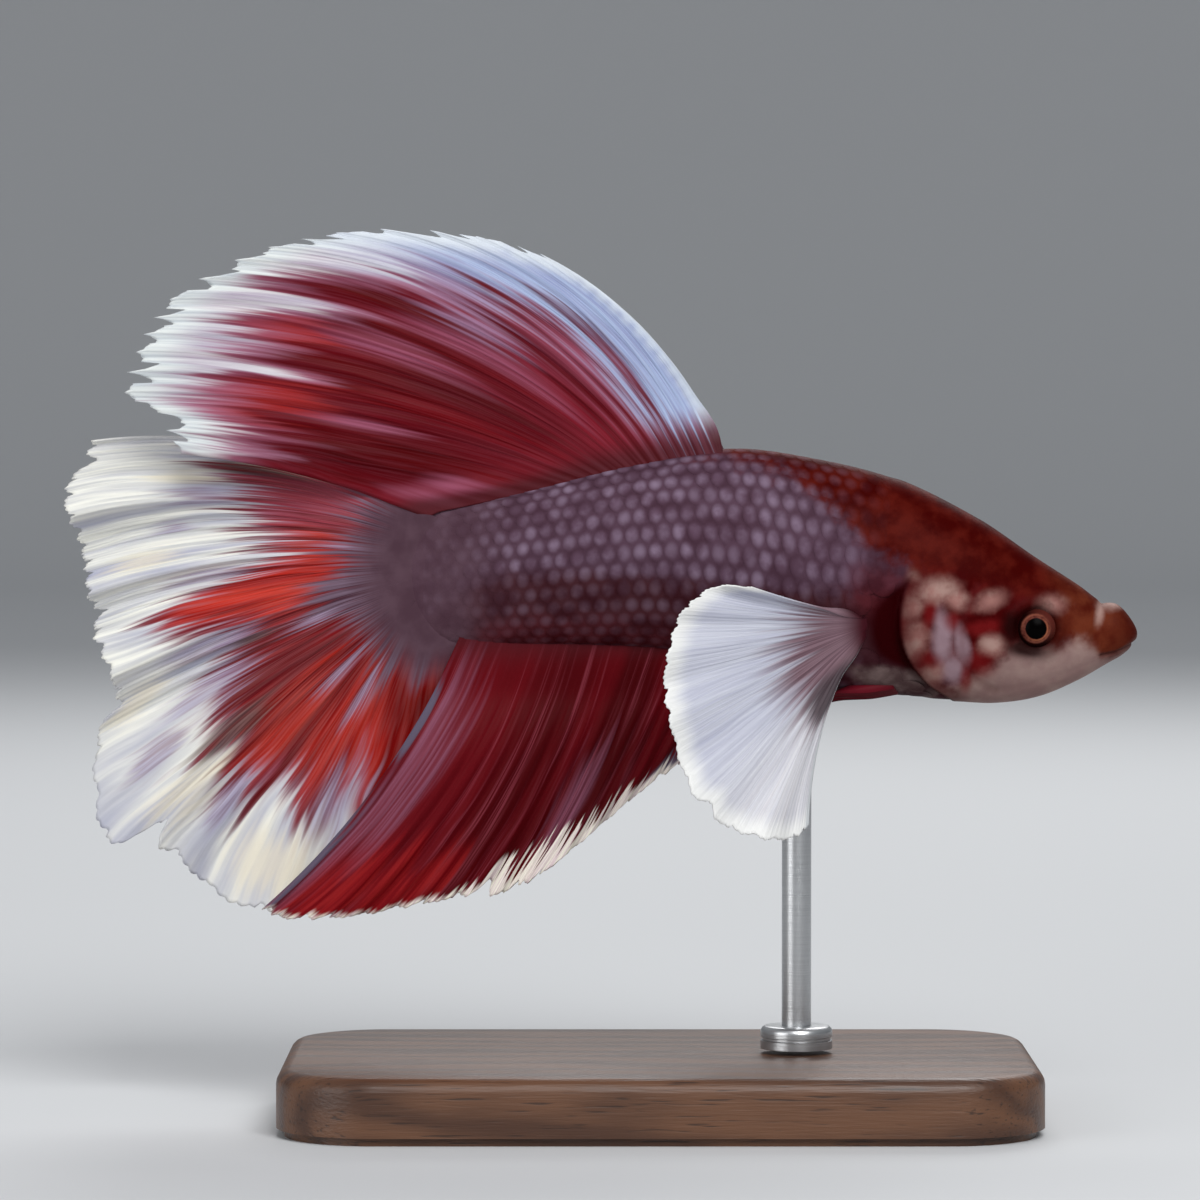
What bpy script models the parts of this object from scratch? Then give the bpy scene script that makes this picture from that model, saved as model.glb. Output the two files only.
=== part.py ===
"""A male betta (dumbo halfmoon) at life size, swimming level above a plain display stand.

The head points along +X, +Z is up, and the fish's right side faces -Y. The origin is the centre of
the stand's underside. The body is modelled whole and then parted with thin cuts. Each fin is a sheet
of curved rays that fans out from a short root line on the body.
"""

import math

import bmesh
import bpy
from mathutils import Matrix

MM = 0.001

# Driving dimensions
BODY_LENGTH = 45.8 * MM  # snout tip to the end of the scaly tail root
SNOUT_X = 29.2 * MM
AXIS_HEIGHT = 33.3 * MM
CUT = 0.3 * MM  # the gap left between neighbouring pieces
FIN_THICKNESS = 0.5 * MM

# Outlines are smooth curves through (distance back from the snout, value), in millimetres. The back
# and the belly are heights over the body axis, the flank is half of the body's width.
BACK_LINE = ((0, -2.6), (1.3, -1.8), (2.2, -1.65), (3.6, -0.65), (6.3, 1.1), (9.7, 3.4), (14.8, 5.9),
             (20, 7.2), (24.7, 7.75), (31, 6.9), (37, 5.5), (42, 4.5), (45.8, 3.9))
BELLY_LINE = ((0, -4.6), (1.3, -5.15), (3.6, -6.45), (6, -7.45), (8.6, -7.85), (11, -7.75),
              (14.8, -7.45), (18.5, -7.3), (23, -6.2), (28, -4.8), (33, -4.5), (41, -4.5), (45.8, -3.9))
FLANK_LINE = ((0, 1.4), (1.4, 1.65), (3.6, 2.2), (6.3, 2.85), (11, 3.7), (15, 3.85), (20, 3.75),
              (26, 3.3), (33, 2.5), (38, 1.85), (41.5, 1.25), (43.4, 0.85), (45.8, 0.5))
# How sharp the back is: 1 is a plain oval, more is a keener ridge
RIDGE_LINE = ((0, 0.9), (8, 0.85), (16, 1.05), (26, 1.25), (45.8, 1.2))
KEEL_POWER = 0.95
SNOUT_TIP_HEIGHT = -3.65
SNOUT_ROUNDING = 1.3
TAIL_ROUNDING = 2.6
TAIL_SWAY = 1.1 * MM  # how far the end of the body swings to the fish's left
SWAY_START = 20 * MM

# The curved rear edge of the head, along the gill opening, and the front edge of the gill covers:
# (height over the axis, distance back), in millimetres
HEAD_EDGE = ((-9, 10.3), (-7.6, 11.4), (-6.6, 12.9), (-5.2, 14.1), (-3.4, 14.7), (-1.4, 14.6),
             (0.8, 13.9), (4, 13.3), (10, 13))
COVER_FRONT = ((-7.6, 11.3), (-5, 10.7), (-2, 10.9), (0.5, 12.2))
COVER_LOW, COVER_HIGH = -7.1, 0.3
COVER_INNER_FACE = 1.9 * MM
TRUNK_END = 32.5 * MM
EYE_BACK, EYE_HEIGHT, EYE_SIDE, EYE_RADIUS = 6.4 * MM, -3.2 * MM, 1.8 * MM, 1.35 * MM
# The corners of the lower jaw, seen from the side: (distance back, height), in millimetres
JAW_CORNERS = ((-0.6, -3.6), (2.4, -4.8), (4.6, -9.0), (-0.6, -9.0))

BASE_LENGTH, BASE_WIDTH, BASE_HEIGHT = 46 * MM, 28 * MM, 4 * MM
BASE_CORNER, BASE_BEVEL = 6 * MM, 0.8 * MM
ROD_X, ROD_RADIUS = 8.4 * MM, 0.9 * MM
COLLAR_RADIUS, COLLAR_HEIGHT = 2.2 * MM, 1.4 * MM

# Guide rays of each fin, from its first ray to its last: the share of the root line, the launch angle
# and the bend along the ray in degrees, and the length in millimetres. Angles turn from the head (0)
# over the back (90) to the tail (180) and the belly (270).
DORSAL_RAYS = ((0, 112, 21, 0.7), (0.05, 109, 12, 2.2), (0.11, 112, 36, 15.3), (0.2, 113, 45, 19.1),
               (0.34, 119, 53, 24.8), (0.48, 128, 49, 27.8), (0.6, 139, 42, 29.8), (0.75, 151, 29, 28.9),
               (0.87, 161, 18, 27), (0.94, 167, 6, 21.6), (0.975, 163, 11, 18.2), (1, 158, 16, 14.6))
CAUDAL_RAYS = ((0, 150, 38, 21.1), (0.12, 157, 36, 21.3), (0.25, 167, 30, 19.8), (0.37, 176, 23, 19.1),
               (0.5, 185, 16, 18.8), (0.59, 195, 11, 18.3), (0.67, 203, 8, 20.7), (0.75, 213, 12, 23.1),
               (0.82, 223, 7, 20.6), (0.88, 235, 5, 20.5), (0.94, 248, 5, 18.5), (1, 264, 4, 13.5))
ANAL_RAYS = ((0, 238, -10, 3.6), (0.1, 245, -8, 6.3), (0.2, 249, -9, 8.7), (0.3, 251, -12, 12.3),
             (0.4, 252, -15, 15.5), (0.5, 254, -17, 16.7), (0.6, 254, -22, 17.3), (0.75, 252, -29, 19.5),
             (0.9, 249, -32, 20.9), (1, 246, -25, 20.1))
PECTORAL_RAYS = ((0, 168, -9, 7), (0.08, 169, -6, 9), (0.16, 173, -4, 10.3), (0.25, 179, -3, 11.2),
                 (0.45, 197, -1, 12.5), (0.55, 208.5, -2, 12.9), (0.65, 222, 0, 13.8), (0.73, 231, 4, 13.8),
                 (0.8, 236, 10, 13.3), (0.87, 238, 17, 12.8), (0.93, 238.5, 24, 12.3), (1, 237.5, 31, 11.4))
PELVIC_RAYS = ((0, 190, 14, 9), (0.5, 189, 14, 11.2), (1, 188, 13, 12.7))
# Where the roots of two fins lie: the share of the root line, then the distance back from the snout in
# millimetres for the dorsal fin, and the angle round the end of the tail root for the caudal fin
DORSAL_ROOT = ((0, 24.8), (0.3, 28.2), (0.6, 31.6), (0.8, 34), (0.88, 35.4), (0.94, 37.6), (1, 42))
CAUDAL_ROOT = ((0, 115), (0.12, 134), (0.5, 179), (0.85, 221), (0.94, 239), (1, 258))
PECTORAL_BACK = 17.1 * MM
# Splits in a fin's edge between its lobes: (share of the fan, depth in millimetres, half width)
DORSAL_SPLITS = ((0.155, 0.8, 0.014), (0.27, 0.6, 0.014), (0.905, 1.1, 0.014))
CAUDAL_SPLITS = ((0.06, 1.0, 0.02), (0.44, 0.6, 0.02), (0.625, 0.8, 0.014), (0.785, 2.2, 0.014))
ANAL_SPLITS = ((0.47, 0.8, 0.012), (0.55, 1.0, 0.014))

SKIN_RED = (0.20, 0.02, 0.03)
SKIN_PLUM = (0.13, 0.06, 0.09)
FIN_RED = (0.40, 0.02, 0.03)
FIN_WHITE = (0.82, 0.83, 0.86)
EYE_DARK = (0.02, 0.01, 0.01)
STAND_BLACK = (0.02, 0.02, 0.022)
STAND_STEEL = (0.62, 0.62, 0.62)


def material(name, colour, roughness, metallic=0.0):
    finish = bpy.data.materials.new(name)
    finish.use_nodes = True
    shader = finish.node_tree.nodes["Principled BSDF"]
    shader.inputs["Base Color"].default_value = (*colour, 1)
    shader.inputs["Roughness"].default_value = roughness
    shader.inputs["Metallic"].default_value = metallic
    return finish


def smooth_value(points, at, column=1):
    """The value in a column at a place on the smooth curve through the points."""
    last = len(points) - 1
    at = min(max(at, points[0][0]), points[-1][0])
    n = next((i for i in range(last) if at <= points[i + 1][0]), last - 1)

    def slope(i):
        low, high = points[max(i - 1, 0)], points[min(i + 1, last)]
        return (high[column] - low[column]) / (high[0] - low[0])

    span = points[n + 1][0] - points[n][0]
    t = (at - points[n][0]) / span
    return (
        points[n][column] * (2 * t**3 - 3 * t**2 + 1)
        + points[n + 1][column] * (3 * t**2 - 2 * t**3)
        + span * slope(n) * (t**3 - 2 * t**2 + t)
        + span * slope(n + 1) * (t**3 - t**2)
    )


def ease(t):
    t = min(max(t, 0), 1)
    return t * t * (3 - 2 * t)


def sway(back):
    """How far the body's middle plane has swung to +Y at this distance behind the snout."""
    share = max(back - SWAY_START, 0) / (BODY_LENGTH - SWAY_START)
    return TAIL_SWAY * share**2


def end_rounding(place):
    """Brings the outline in to a blunt snout and a round tail root."""
    nose = min(place / SNOUT_ROUNDING, 1)
    tail = min((BODY_LENGTH / MM - place) / TAIL_ROUNDING, 1)
    return math.sqrt(max(1 - (1 - nose) ** 2, 0)) * math.sqrt(max(1 - (1 - tail) ** 2, 0))


def section(back):
    """(top, bottom, half width) of the body there, the first two as heights over the body axis."""
    place = back / MM
    top, bottom = smooth_value(BACK_LINE, place), smooth_value(BELLY_LINE, place)
    closing = end_rounding(place)
    centre = SNOUT_TIP_HEIGHT if place < SNOUT_ROUNDING else (top + bottom) / 2
    top = centre + (top - centre) * closing
    bottom = centre + (bottom - centre) * closing
    return top * MM, bottom * MM, smooth_value(FLANK_LINE, place) * closing * MM


def skin_point(back, turn):
    """A point of the body's surface: turn runs round the body, from 0 at +Y through 90 at the back."""
    top, bottom, half_width = section(back)
    rise = math.sin(turn)
    power = smooth_value(RIDGE_LINE, back / MM) if rise > 0 else KEEL_POWER
    across = math.copysign(abs(math.cos(turn)) ** power, math.cos(turn))
    return (
        SNOUT_X - back,
        sway(back) + across * half_width,
        AXIS_HEIGHT + (top + bottom) / 2 + rise * (top - bottom) / 2,
    )


def new_object(name, shape, collection, finish=None):
    mesh = bpy.data.meshes.new(name)
    shape.to_mesh(mesh)
    shape.free()
    mesh.shade_smooth()
    made = bpy.data.objects.new(name, mesh)
    if finish:
        mesh.materials.append(finish)
    collection.objects.link(made)
    return made


def cutter(made):
    made.hide_render = True
    made.display_type = "WIRE"
    return made


def whole_body(name, collection, finish):
    """The body as one closed surface: a sphere drawn out along the body's sections."""
    shape = bmesh.new()
    bmesh.ops.create_uvsphere(shape, u_segments=28, v_segments=40, radius=1)
    for vertex in shape.verts:
        x, y, z = vertex.co
        turn = math.atan2(y, x) if math.hypot(x, y) > 1e-6 else 0
        vertex.co = skin_point(BODY_LENGTH * (1 - z) / 2, turn)
    bmesh.ops.recalc_face_normals(shape, faces=shape.faces)
    return new_object(name, shape, collection, finish)


def slab(name, corners, collection, y_low=-20 * MM, y_high=20 * MM):
    """A prism along Y over corners given as (distance back, height over the axis)."""
    shape = bmesh.new()
    ring = [shape.verts.new((SNOUT_X - back, y_low, AXIS_HEIGHT + up)) for back, up in corners]
    grown = bmesh.ops.extrude_face_region(shape, geom=[shape.faces.new(ring)])
    moved = [v for v in grown["geom"] if isinstance(v, bmesh.types.BMVert)]
    bmesh.ops.translate(shape, verts=moved, vec=(0, y_high - y_low, 0))
    bmesh.ops.recalc_face_normals(shape, faces=shape.faces)
    return cutter(new_object(name, shape, collection))


def edge_corners(points, low, high, steps, shift=0.0):
    """Corners along a curved edge, from its low end to its high end."""
    heights = [low + (high - low) * i / steps for i in range(steps + 1)]
    return [(smooth_value(points, up) * MM + shift, up * MM) for up in heights]


def boolean(made, operation, other):
    step = made.modifiers.new(f"{operation.lower()}_{other.name}", "BOOLEAN")
    step.operation = operation
    step.object = other
    step.solver = "EXACT"


def cover_region(name, side, grow, collection):
    """The room of one gill cover beside the head, larger by grow all round."""
    low, high = COVER_LOW - grow / MM, COVER_HIGH + grow / MM
    front = edge_corners(COVER_FRONT, low, high, 10, -grow)
    rear = edge_corners(HEAD_EDGE, low, high, 10, 2 * grow)
    inner = (COVER_INNER_FACE - grow) * side
    outer = 8 * MM * side
    return slab(name, front + rear[::-1], collection, min(inner, outer), max(inner, outer))


def ball(name, centre, radius, collection, finish=None):
    """A ball whose poles look along Y."""
    shape = bmesh.new()
    bmesh.ops.create_uvsphere(shape, u_segments=16, v_segments=9, radius=radius)
    bmesh.ops.rotate(shape, verts=shape.verts, cent=(0, 0, 0),
                     matrix=Matrix.Rotation(math.radians(90), 3, "X"))
    bmesh.ops.translate(shape, verts=shape.verts, vec=centre)
    return new_object(name, shape, collection, finish)


def body_pieces(parts, cutters):
    """The body parted into head, lower jaw, gill covers, trunk and tail root, with the eyes let in."""
    deep = 30 * MM
    red = material("head_skin", SKIN_RED, 0.4)
    plum = material("body_skin", SKIN_PLUM, 0.4)
    eye_finish = material("eye", EYE_DARK, 0.1)

    head_edge = edge_corners(HEAD_EDGE, -9, 10, 24)
    trunk_edge = edge_corners(HEAD_EDGE, -9, 10, 24, CUT)
    head = whole_body("head", parts, red)
    boolean(head, "INTERSECT", slab("cut_head", [(-deep, -9 * MM), *head_edge, (-deep, 10 * MM)], cutters))
    trunk = whole_body("trunk", parts, plum)
    trunk_corners = [(TRUNK_END, -9 * MM), *trunk_edge, (TRUNK_END, 10 * MM)]
    boolean(trunk, "INTERSECT", slab("cut_trunk", trunk_corners, cutters))
    tail_root = whole_body("tail_root", parts, plum)
    tail_start = TRUNK_END + CUT
    tail_corners = [(tail_start, -deep), (60 * MM, -deep), (60 * MM, deep), (tail_start, deep)]
    boolean(tail_root, "INTERSECT", slab("cut_tail_root", tail_corners, cutters))

    jaw_corners = [(back * MM, up * MM) for back, up in JAW_CORNERS]
    jaw_room = [(back * MM + (CUT if back > 0 else 0), (up + 0.3) * MM) for back, up in JAW_CORNERS]
    jaw = whole_body("lower_jaw", parts, red)
    boolean(jaw, "INTERSECT", slab("cut_jaw", jaw_corners, cutters))
    boolean(head, "DIFFERENCE", slab("cut_jaw_room", jaw_room, cutters))

    for label, side in (("left", 1), ("right", -1)):
        cover = whole_body(f"gill_cover_{label}", parts, red)
        boolean(cover, "INTERSECT", cover_region(f"cut_gill_{label}", side, 0, cutters))
        boolean(head, "DIFFERENCE", cover_region(f"cut_gill_room_{label}", side, CUT, cutters))
        centre = (SNOUT_X - EYE_BACK, EYE_SIDE * side, AXIS_HEIGHT + EYE_HEIGHT)
        ball(f"eye_{label}", centre, EYE_RADIUS, parts, eye_finish)
        boolean(head, "DIFFERENCE", cutter(ball(f"cut_socket_{label}", centre, EYE_RADIUS + CUT, cutters)))


def along_ray(launch, bend, distance, length):
    """(forwards, upwards) at a distance along a ray that bends evenly."""
    turned = bend * distance / length
    if abs(turned) < 1e-4:
        return distance * math.cos(launch), distance * math.sin(launch)
    radius = length / bend
    return (
        radius * (math.sin(launch + turned) - math.sin(launch)),
        radius * (math.cos(launch) - math.cos(launch + turned)),
    )


def edge_setback(share, teeth, depth, splits):
    """How far the web stands back from the ray tips: nothing at each ray, most between two of them."""
    tooth = share * teeth
    size = 0.65 + 0.35 * math.sin(2.4 * round(tooth) + 1)
    web = depth * size * (1 - abs(math.cos(math.pi * tooth)))
    return web + sum(deep * MM * math.exp(-(((share - at) / wide) ** 2)) for at, deep, wide in splits)


def fin(name, fan, collection, finish):
    """A fin as a sheet over its rays, thickened. The fan says where its rays start and how they run."""
    shape = bmesh.new()
    bmesh.ops.create_grid(shape, x_segments=2 * fan["teeth"], y_segments=fan["rows"], size=1)
    for vertex in shape.verts:
        share, reach = (vertex.co.x + 1) / 2, (vertex.co.y + 1) / 2
        launch, bend = (math.radians(smooth_value(fan["rays"], share, i)) for i in (1, 2))
        length = smooth_value(fan["rays"], share, 3) * MM
        setback = edge_setback(share, fan["teeth"], fan["tooth_depth"], fan["splits"])
        distance = max(length - setback, 0.5 * length) * reach
        forwards, upwards = along_ray(launch, bend, distance, length)
        x, y, z = fan["root"](share)
        vertex.co = (x + forwards, y + fan["sideways"](share, distance / length), z + upwards)
    bmesh.ops.recalc_face_normals(shape, faces=shape.faces)
    wall = new_object(name, shape, collection, finish).modifiers.new("thickness", "SOLIDIFY")
    wall.thickness = FIN_THICKNESS
    wall.offset = 0


def back_root(share):
    back = smooth_value(DORSAL_ROOT, share) * MM
    return SNOUT_X - back, sway(back), AXIS_HEIGHT + section(back)[0] + CUT


def belly_root(share):
    back = (22.4 + 19.2 * share) * MM
    return SNOUT_X - back, sway(back), AXIS_HEIGHT + section(back)[1] - CUT


def tail_end_root(share):
    """The root of the tail fin: an arc just behind the rounded end of the body."""
    angle = math.radians(smooth_value(CAUDAL_ROOT, share))
    top, bottom, _ = section(BODY_LENGTH - TAIL_ROUNDING * MM)
    half = (top - bottom) / 2 + CUT
    end = TAIL_ROUNDING * MM + CUT
    x = SNOUT_X - BODY_LENGTH + TAIL_ROUNDING * MM + end * math.cos(angle)
    return x, TAIL_SWAY, AXIS_HEIGHT + (top + bottom) / 2 + half * math.sin(angle)


def dorsal_side(share, reach):
    wave = 0.35 * math.sin(9 * share + 1) + 0.2 * math.sin(23 * share)
    return (wave * reach**1.5 - 1.1 * ease(share * 1.2) * ease(1.6 * reach)) * MM


def caudal_side(share, reach):
    folds = 0.85 * math.sin(31 * share) + 0.5 * math.sin(17 * share + 2)
    return (0.9 * ease(reach * 4) + 2.0 * reach + folds * ease(reach * 1.3) * reach) * MM


def anal_side(share, reach):
    wave = 0.4 * math.sin(14 * share) + 0.25 * math.sin(27 * share + 1)
    return (wave * reach**1.5 - 1.5 * ease(share * 1.1) * ease(2.5 * reach)) * MM


def fins(parts):
    red = material("fin_red", FIN_RED, 0.45)
    white = material("pectoral_white", FIN_WHITE, 0.5)
    fin("dorsal_fin", {
        "rays": DORSAL_RAYS, "root": back_root, "sideways": dorsal_side, "teeth": 20, "rows": 6,
        "tooth_depth": 1.4 * MM, "splits": DORSAL_SPLITS,
    }, parts, red)
    fin("caudal_fin", {
        "rays": CAUDAL_RAYS, "root": tail_end_root, "sideways": caudal_side, "teeth": 26, "rows": 6,
        "tooth_depth": 0.6 * MM, "splits": CAUDAL_SPLITS,
    }, parts, red)
    fin("anal_fin", {
        "rays": ANAL_RAYS, "root": belly_root, "sideways": anal_side, "teeth": 19, "rows": 5,
        "tooth_depth": 0.6 * MM, "splits": ANAL_SPLITS,
    }, parts, red)

    outward_reach = ((0, 6.5), (0.25, 8.8), (0.6, 9.8), (0.8, 8.6), (0.92, 7.2), (1, 5.6))
    for label, side in (("left", 1), ("right", -1)):

        def pectoral_root(share, side=side):
            out = section(PECTORAL_BACK)[2] + 1.6 * CUT
            return SNOUT_X - PECTORAL_BACK, out * side, AXIS_HEIGHT - (2.4 + 1.5 * share) * MM

        def pectoral_side(share, reach, side=side):
            out = smooth_value(outward_reach, share) * (1.3 * reach - 0.3 * reach**2)
            return (out + 0.25 * math.sin(40 * share) * reach**2) * side * MM

        def pelvic_root(share, side=side):
            back = (15.6 + 0.3 * share) * MM
            height = section(back)[1] - CUT - FIN_THICKNESS / 2 + 0.8 * share * MM
            return SNOUT_X - back, (0.9 + 1.3 * share) * side * MM, AXIS_HEIGHT + height

        def pelvic_side(share, reach, side=side):
            return (1 + 0.6 * share) * reach * side * MM

        fin(f"pectoral_fin_{label}", {
            "rays": PECTORAL_RAYS, "root": pectoral_root, "sideways": pectoral_side, "teeth": 15,
            "rows": 5, "tooth_depth": 0.3 * MM, "splits": (),
        }, parts, white)
        fin(f"pelvic_fin_{label}", {
            "rays": PELVIC_RAYS, "root": pelvic_root, "sideways": pelvic_side, "teeth": 3,
            "rows": 7, "tooth_depth": 0.5 * MM, "splits": (),
        }, parts, red)


def stand(parts):
    """A bevelled plate on the floor, a turned collar on it, and a rod up to the belly."""
    black = material("stand_lacquer", STAND_BLACK, 0.3)
    steel = material("stand_steel", STAND_STEEL, 0.3, 1.0)
    shape = bmesh.new()
    bmesh.ops.create_cube(shape, size=1)
    bmesh.ops.scale(shape, verts=shape.verts, vec=(BASE_LENGTH, BASE_WIDTH, BASE_HEIGHT))
    bmesh.ops.translate(shape, verts=shape.verts, vec=(0, 0, BASE_HEIGHT / 2))
    upright = [e for e in shape.edges if abs(e.verts[0].co.z - e.verts[1].co.z) > BASE_HEIGHT / 2]
    bmesh.ops.bevel(shape, geom=upright, affect="EDGES", offset=BASE_CORNER, segments=6,
                    profile=0.5, material=-1)
    rim = [e for e in shape.edges if min(v.co.z for v in e.verts) > 0.9 * BASE_HEIGHT]
    bmesh.ops.bevel(shape, geom=rim, affect="EDGES", offset=BASE_BEVEL, segments=2,
                    profile=0.5, material=-1)
    new_object("stand_base", shape, parts, black)

    belly = AXIS_HEIGHT + section(SNOUT_X - ROD_X)[1]
    collar_foot = BASE_HEIGHT + CUT
    rod_foot = collar_foot + COLLAR_HEIGHT + CUT
    for name, low, high, radius, sides in (
        ("stand_collar", collar_foot, collar_foot + COLLAR_HEIGHT, COLLAR_RADIUS, 32),
        ("stand_rod", rod_foot, belly - CUT, ROD_RADIUS, 20),
    ):
        shape = bmesh.new()
        bmesh.ops.create_cone(shape, cap_ends=True, segments=sides, radius1=radius,
                              radius2=radius, depth=high - low)
        bmesh.ops.translate(shape, verts=shape.verts, vec=(ROD_X, 0, (low + high) / 2))
        new_object(name, shape, parts, steel)


for old in list(bpy.data.objects):
    bpy.data.objects.remove(old)
betta = bpy.data.collections.new("betta_fish")
cut_bodies = bpy.data.collections.new("cutters")
cut_bodies.hide_render = True
bpy.context.scene.collection.children.link(betta)
bpy.context.scene.collection.children.link(cut_bodies)
body_pieces(betta, cut_bodies)
fins(betta)
stand(betta)
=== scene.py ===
"""The finish of a life-size male betta, a dumbo halfmoon, on its display stand.

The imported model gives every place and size. One skin stands for the pieces of flesh, with scales laid
over it; the eyes, the seven fins and the stand are pieces of their own.
"""

import math

import bmesh
import bpy
import numpy as np
from mathutils import Matrix, Vector


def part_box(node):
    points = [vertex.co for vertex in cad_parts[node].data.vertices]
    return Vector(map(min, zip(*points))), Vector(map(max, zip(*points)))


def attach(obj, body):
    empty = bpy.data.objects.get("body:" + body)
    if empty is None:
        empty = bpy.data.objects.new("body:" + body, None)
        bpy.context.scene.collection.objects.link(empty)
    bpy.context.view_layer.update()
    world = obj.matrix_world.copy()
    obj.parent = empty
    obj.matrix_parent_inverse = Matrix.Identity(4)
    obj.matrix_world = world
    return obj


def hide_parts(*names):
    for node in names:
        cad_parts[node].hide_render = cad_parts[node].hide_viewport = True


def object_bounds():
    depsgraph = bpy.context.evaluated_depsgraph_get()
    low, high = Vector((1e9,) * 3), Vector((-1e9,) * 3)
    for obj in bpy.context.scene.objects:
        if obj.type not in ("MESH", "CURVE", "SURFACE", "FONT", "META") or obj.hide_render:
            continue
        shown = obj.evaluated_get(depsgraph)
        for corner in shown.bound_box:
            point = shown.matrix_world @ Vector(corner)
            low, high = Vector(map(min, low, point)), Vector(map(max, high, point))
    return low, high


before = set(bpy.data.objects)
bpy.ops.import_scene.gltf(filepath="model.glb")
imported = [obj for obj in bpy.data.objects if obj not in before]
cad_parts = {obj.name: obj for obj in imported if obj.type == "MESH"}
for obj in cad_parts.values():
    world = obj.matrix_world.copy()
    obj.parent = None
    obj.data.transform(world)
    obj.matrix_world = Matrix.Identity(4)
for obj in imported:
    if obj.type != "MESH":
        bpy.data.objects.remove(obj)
cad_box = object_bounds()


# The stage is a shallow dish of pale matt card: a flat floor that curves up into a low rim on every
# side, so that no edge shows behind the fish. Soft lamps hang over it, and a long lens looks nearly
# level at the fish's right side.
FLOOR_RADIUS, SWEEP_RADIUS, RIM_HEIGHT = 1.0, 0.35, 0.45
CARD_SHADE = (0.60, 0.61, 0.62, 1)


def turned_form(profile, steps):
    """A form turned on the upright axis from (radius, height) pairs."""
    form = bmesh.new()
    points = [form.verts.new((out, 0, up)) for out, up in profile]
    lines = [form.edges.new(pair) for pair in zip(points, points[1:])]
    bmesh.ops.spin(form, geom=points + lines, cent=(0, 0, 0), axis=(0, 0, 1), angle=2 * math.pi,
                   steps=steps, use_merge=True, use_duplicate=False)
    bmesh.ops.remove_doubles(form, verts=form.verts, dist=0.00001)
    bmesh.ops.recalc_face_normals(form, faces=form.faces)
    return form


def finished_mesh(name, form):
    mesh = bpy.data.meshes.new(name)
    form.to_mesh(mesh)
    form.free()
    return mesh


bends = [math.radians(angle) for angle in range(0, 91, 6)]
dish_mesh = finished_mesh("studio_floor", turned_form([(0, 0)] + [
    (FLOOR_RADIUS + SWEEP_RADIUS * math.sin(bend), SWEEP_RADIUS * (1 - math.cos(bend))) for bend in bends
] + [(FLOOR_RADIUS + SWEEP_RADIUS, RIM_HEIGHT)], 96))
dish_mesh.shade_smooth()
card = bpy.data.materials.new("pale_card")
card.use_nodes = True
matt = card.node_tree.nodes["Principled BSDF"].inputs
matt["Base Color"].default_value = CARD_SHADE
matt["Roughness"].default_value = 0.9
dish_mesh.materials.append(card)
floor = bpy.data.objects.new("studio_floor", dish_mesh)
bpy.context.scene.collection.objects.link(floor)

sky = bpy.data.worlds.new("studio")
sky.use_nodes = True
glow = sky.node_tree.nodes["Background"].inputs
glow["Color"].default_value = (0.92, 0.95, 1, 1)
glow["Strength"].default_value = 0.35
bpy.context.scene.world = sky
bpy.context.scene.view_settings.view_transform = "Standard"

middle = (cad_box[0] + cad_box[1]) / 2
LAMP_SIZE = 0.30
for name, place, power in (
    ("key_lamp", (0.12, -0.42, 0.38), 2.6),
    ("fill_lamp", (-0.38, -0.30, 0.14), 0.7),
    ("far_lamp", (0.05, 0.36, 0.34), 1.0),
):
    lamp = bpy.data.lights.new(name, "AREA")
    lamp.size = LAMP_SIZE
    lamp.energy = power
    hung = bpy.data.objects.new(name, lamp)
    hung.location = place
    hung.rotation_euler = (middle - Vector(place)).to_track_quat("-Z", "Y").to_euler()
    bpy.context.scene.collection.objects.link(hung)

CAMERA_DISTANCE, CAMERA_TILT, CAMERA_LENS = 0.35, math.radians(2), 172
aim = middle + Vector((0.00025, 0, 0.0044))
camera = bpy.data.objects.new("camera", bpy.data.cameras.new("camera"))
camera.data.lens = CAMERA_LENS
camera.data.clip_start, camera.data.clip_end = 0.01, 10
camera.location = aim + CAMERA_DISTANCE * Vector((0, -math.cos(CAMERA_TILT), math.sin(CAMERA_TILT)))
camera.rotation_euler = (math.pi / 2 - CAMERA_TILT, 0, 0)
bpy.context.scene.collection.objects.link(camera)
bpy.context.scene.camera = camera


# The skin is one closed hide over head, gill covers, trunk and tail root: a thin slimy layer, bare on
# the head and bedded with scales behind it. The lips, the eye sockets, the free rear edge of each gill
# cover and the creases of the cheek are folded into the same surface.
MM = 0.001
BODY_LENGTH = 45.8
BACK_LINE = ((0, -2.6), (1.3, -1.8), (2.2, -1.65), (3.6, -0.65), (6.3, 1.1), (9.7, 3.4), (14.8, 5.9),
             (20, 7.2), (24.7, 7.75), (31, 6.9), (37, 5.5), (42, 4.5), (45.8, 3.9))
BELLY_LINE = ((0, -4.6), (1.3, -5.15), (3.6, -6.45), (6, -7.45), (8.6, -7.85), (11, -7.75),
              (14.8, -7.45), (18.5, -7.3), (23, -6.2), (28, -4.8), (33, -4.5), (41, -4.5), (45.8, -3.9))
FLANK_LINE = ((0, 1.4), (1.4, 1.65), (3.6, 2.2), (6.3, 2.85), (11, 3.7), (15, 3.85), (20, 3.75),
              (26, 3.3), (33, 2.5), (38, 1.85), (41.5, 1.25), (43.4, 0.85), (45.8, 0.5))
RIDGE_LINE = ((0, 0.9), (8, 0.85), (16, 1.05), (26, 1.25), (45.8, 1.2))
KEEL_POWER, SNOUT_TIP, SNOUT_ROUNDING, TAIL_ROUNDING = 0.95, -3.65, 1.3, 2.6
TAIL_SWAY, SWAY_START = 1.1, 20
GILL_EDGE = ((-9, 10.3), (-7.6, 11.4), (-6.6, 12.9), (-5.2, 14.1), (-3.4, 14.7), (-1.4, 14.6),
             (0.8, 13.9), (4, 13.3), (10, 13))
EYE_BACK, EYE_UP = 6.4, -3.2
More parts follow.
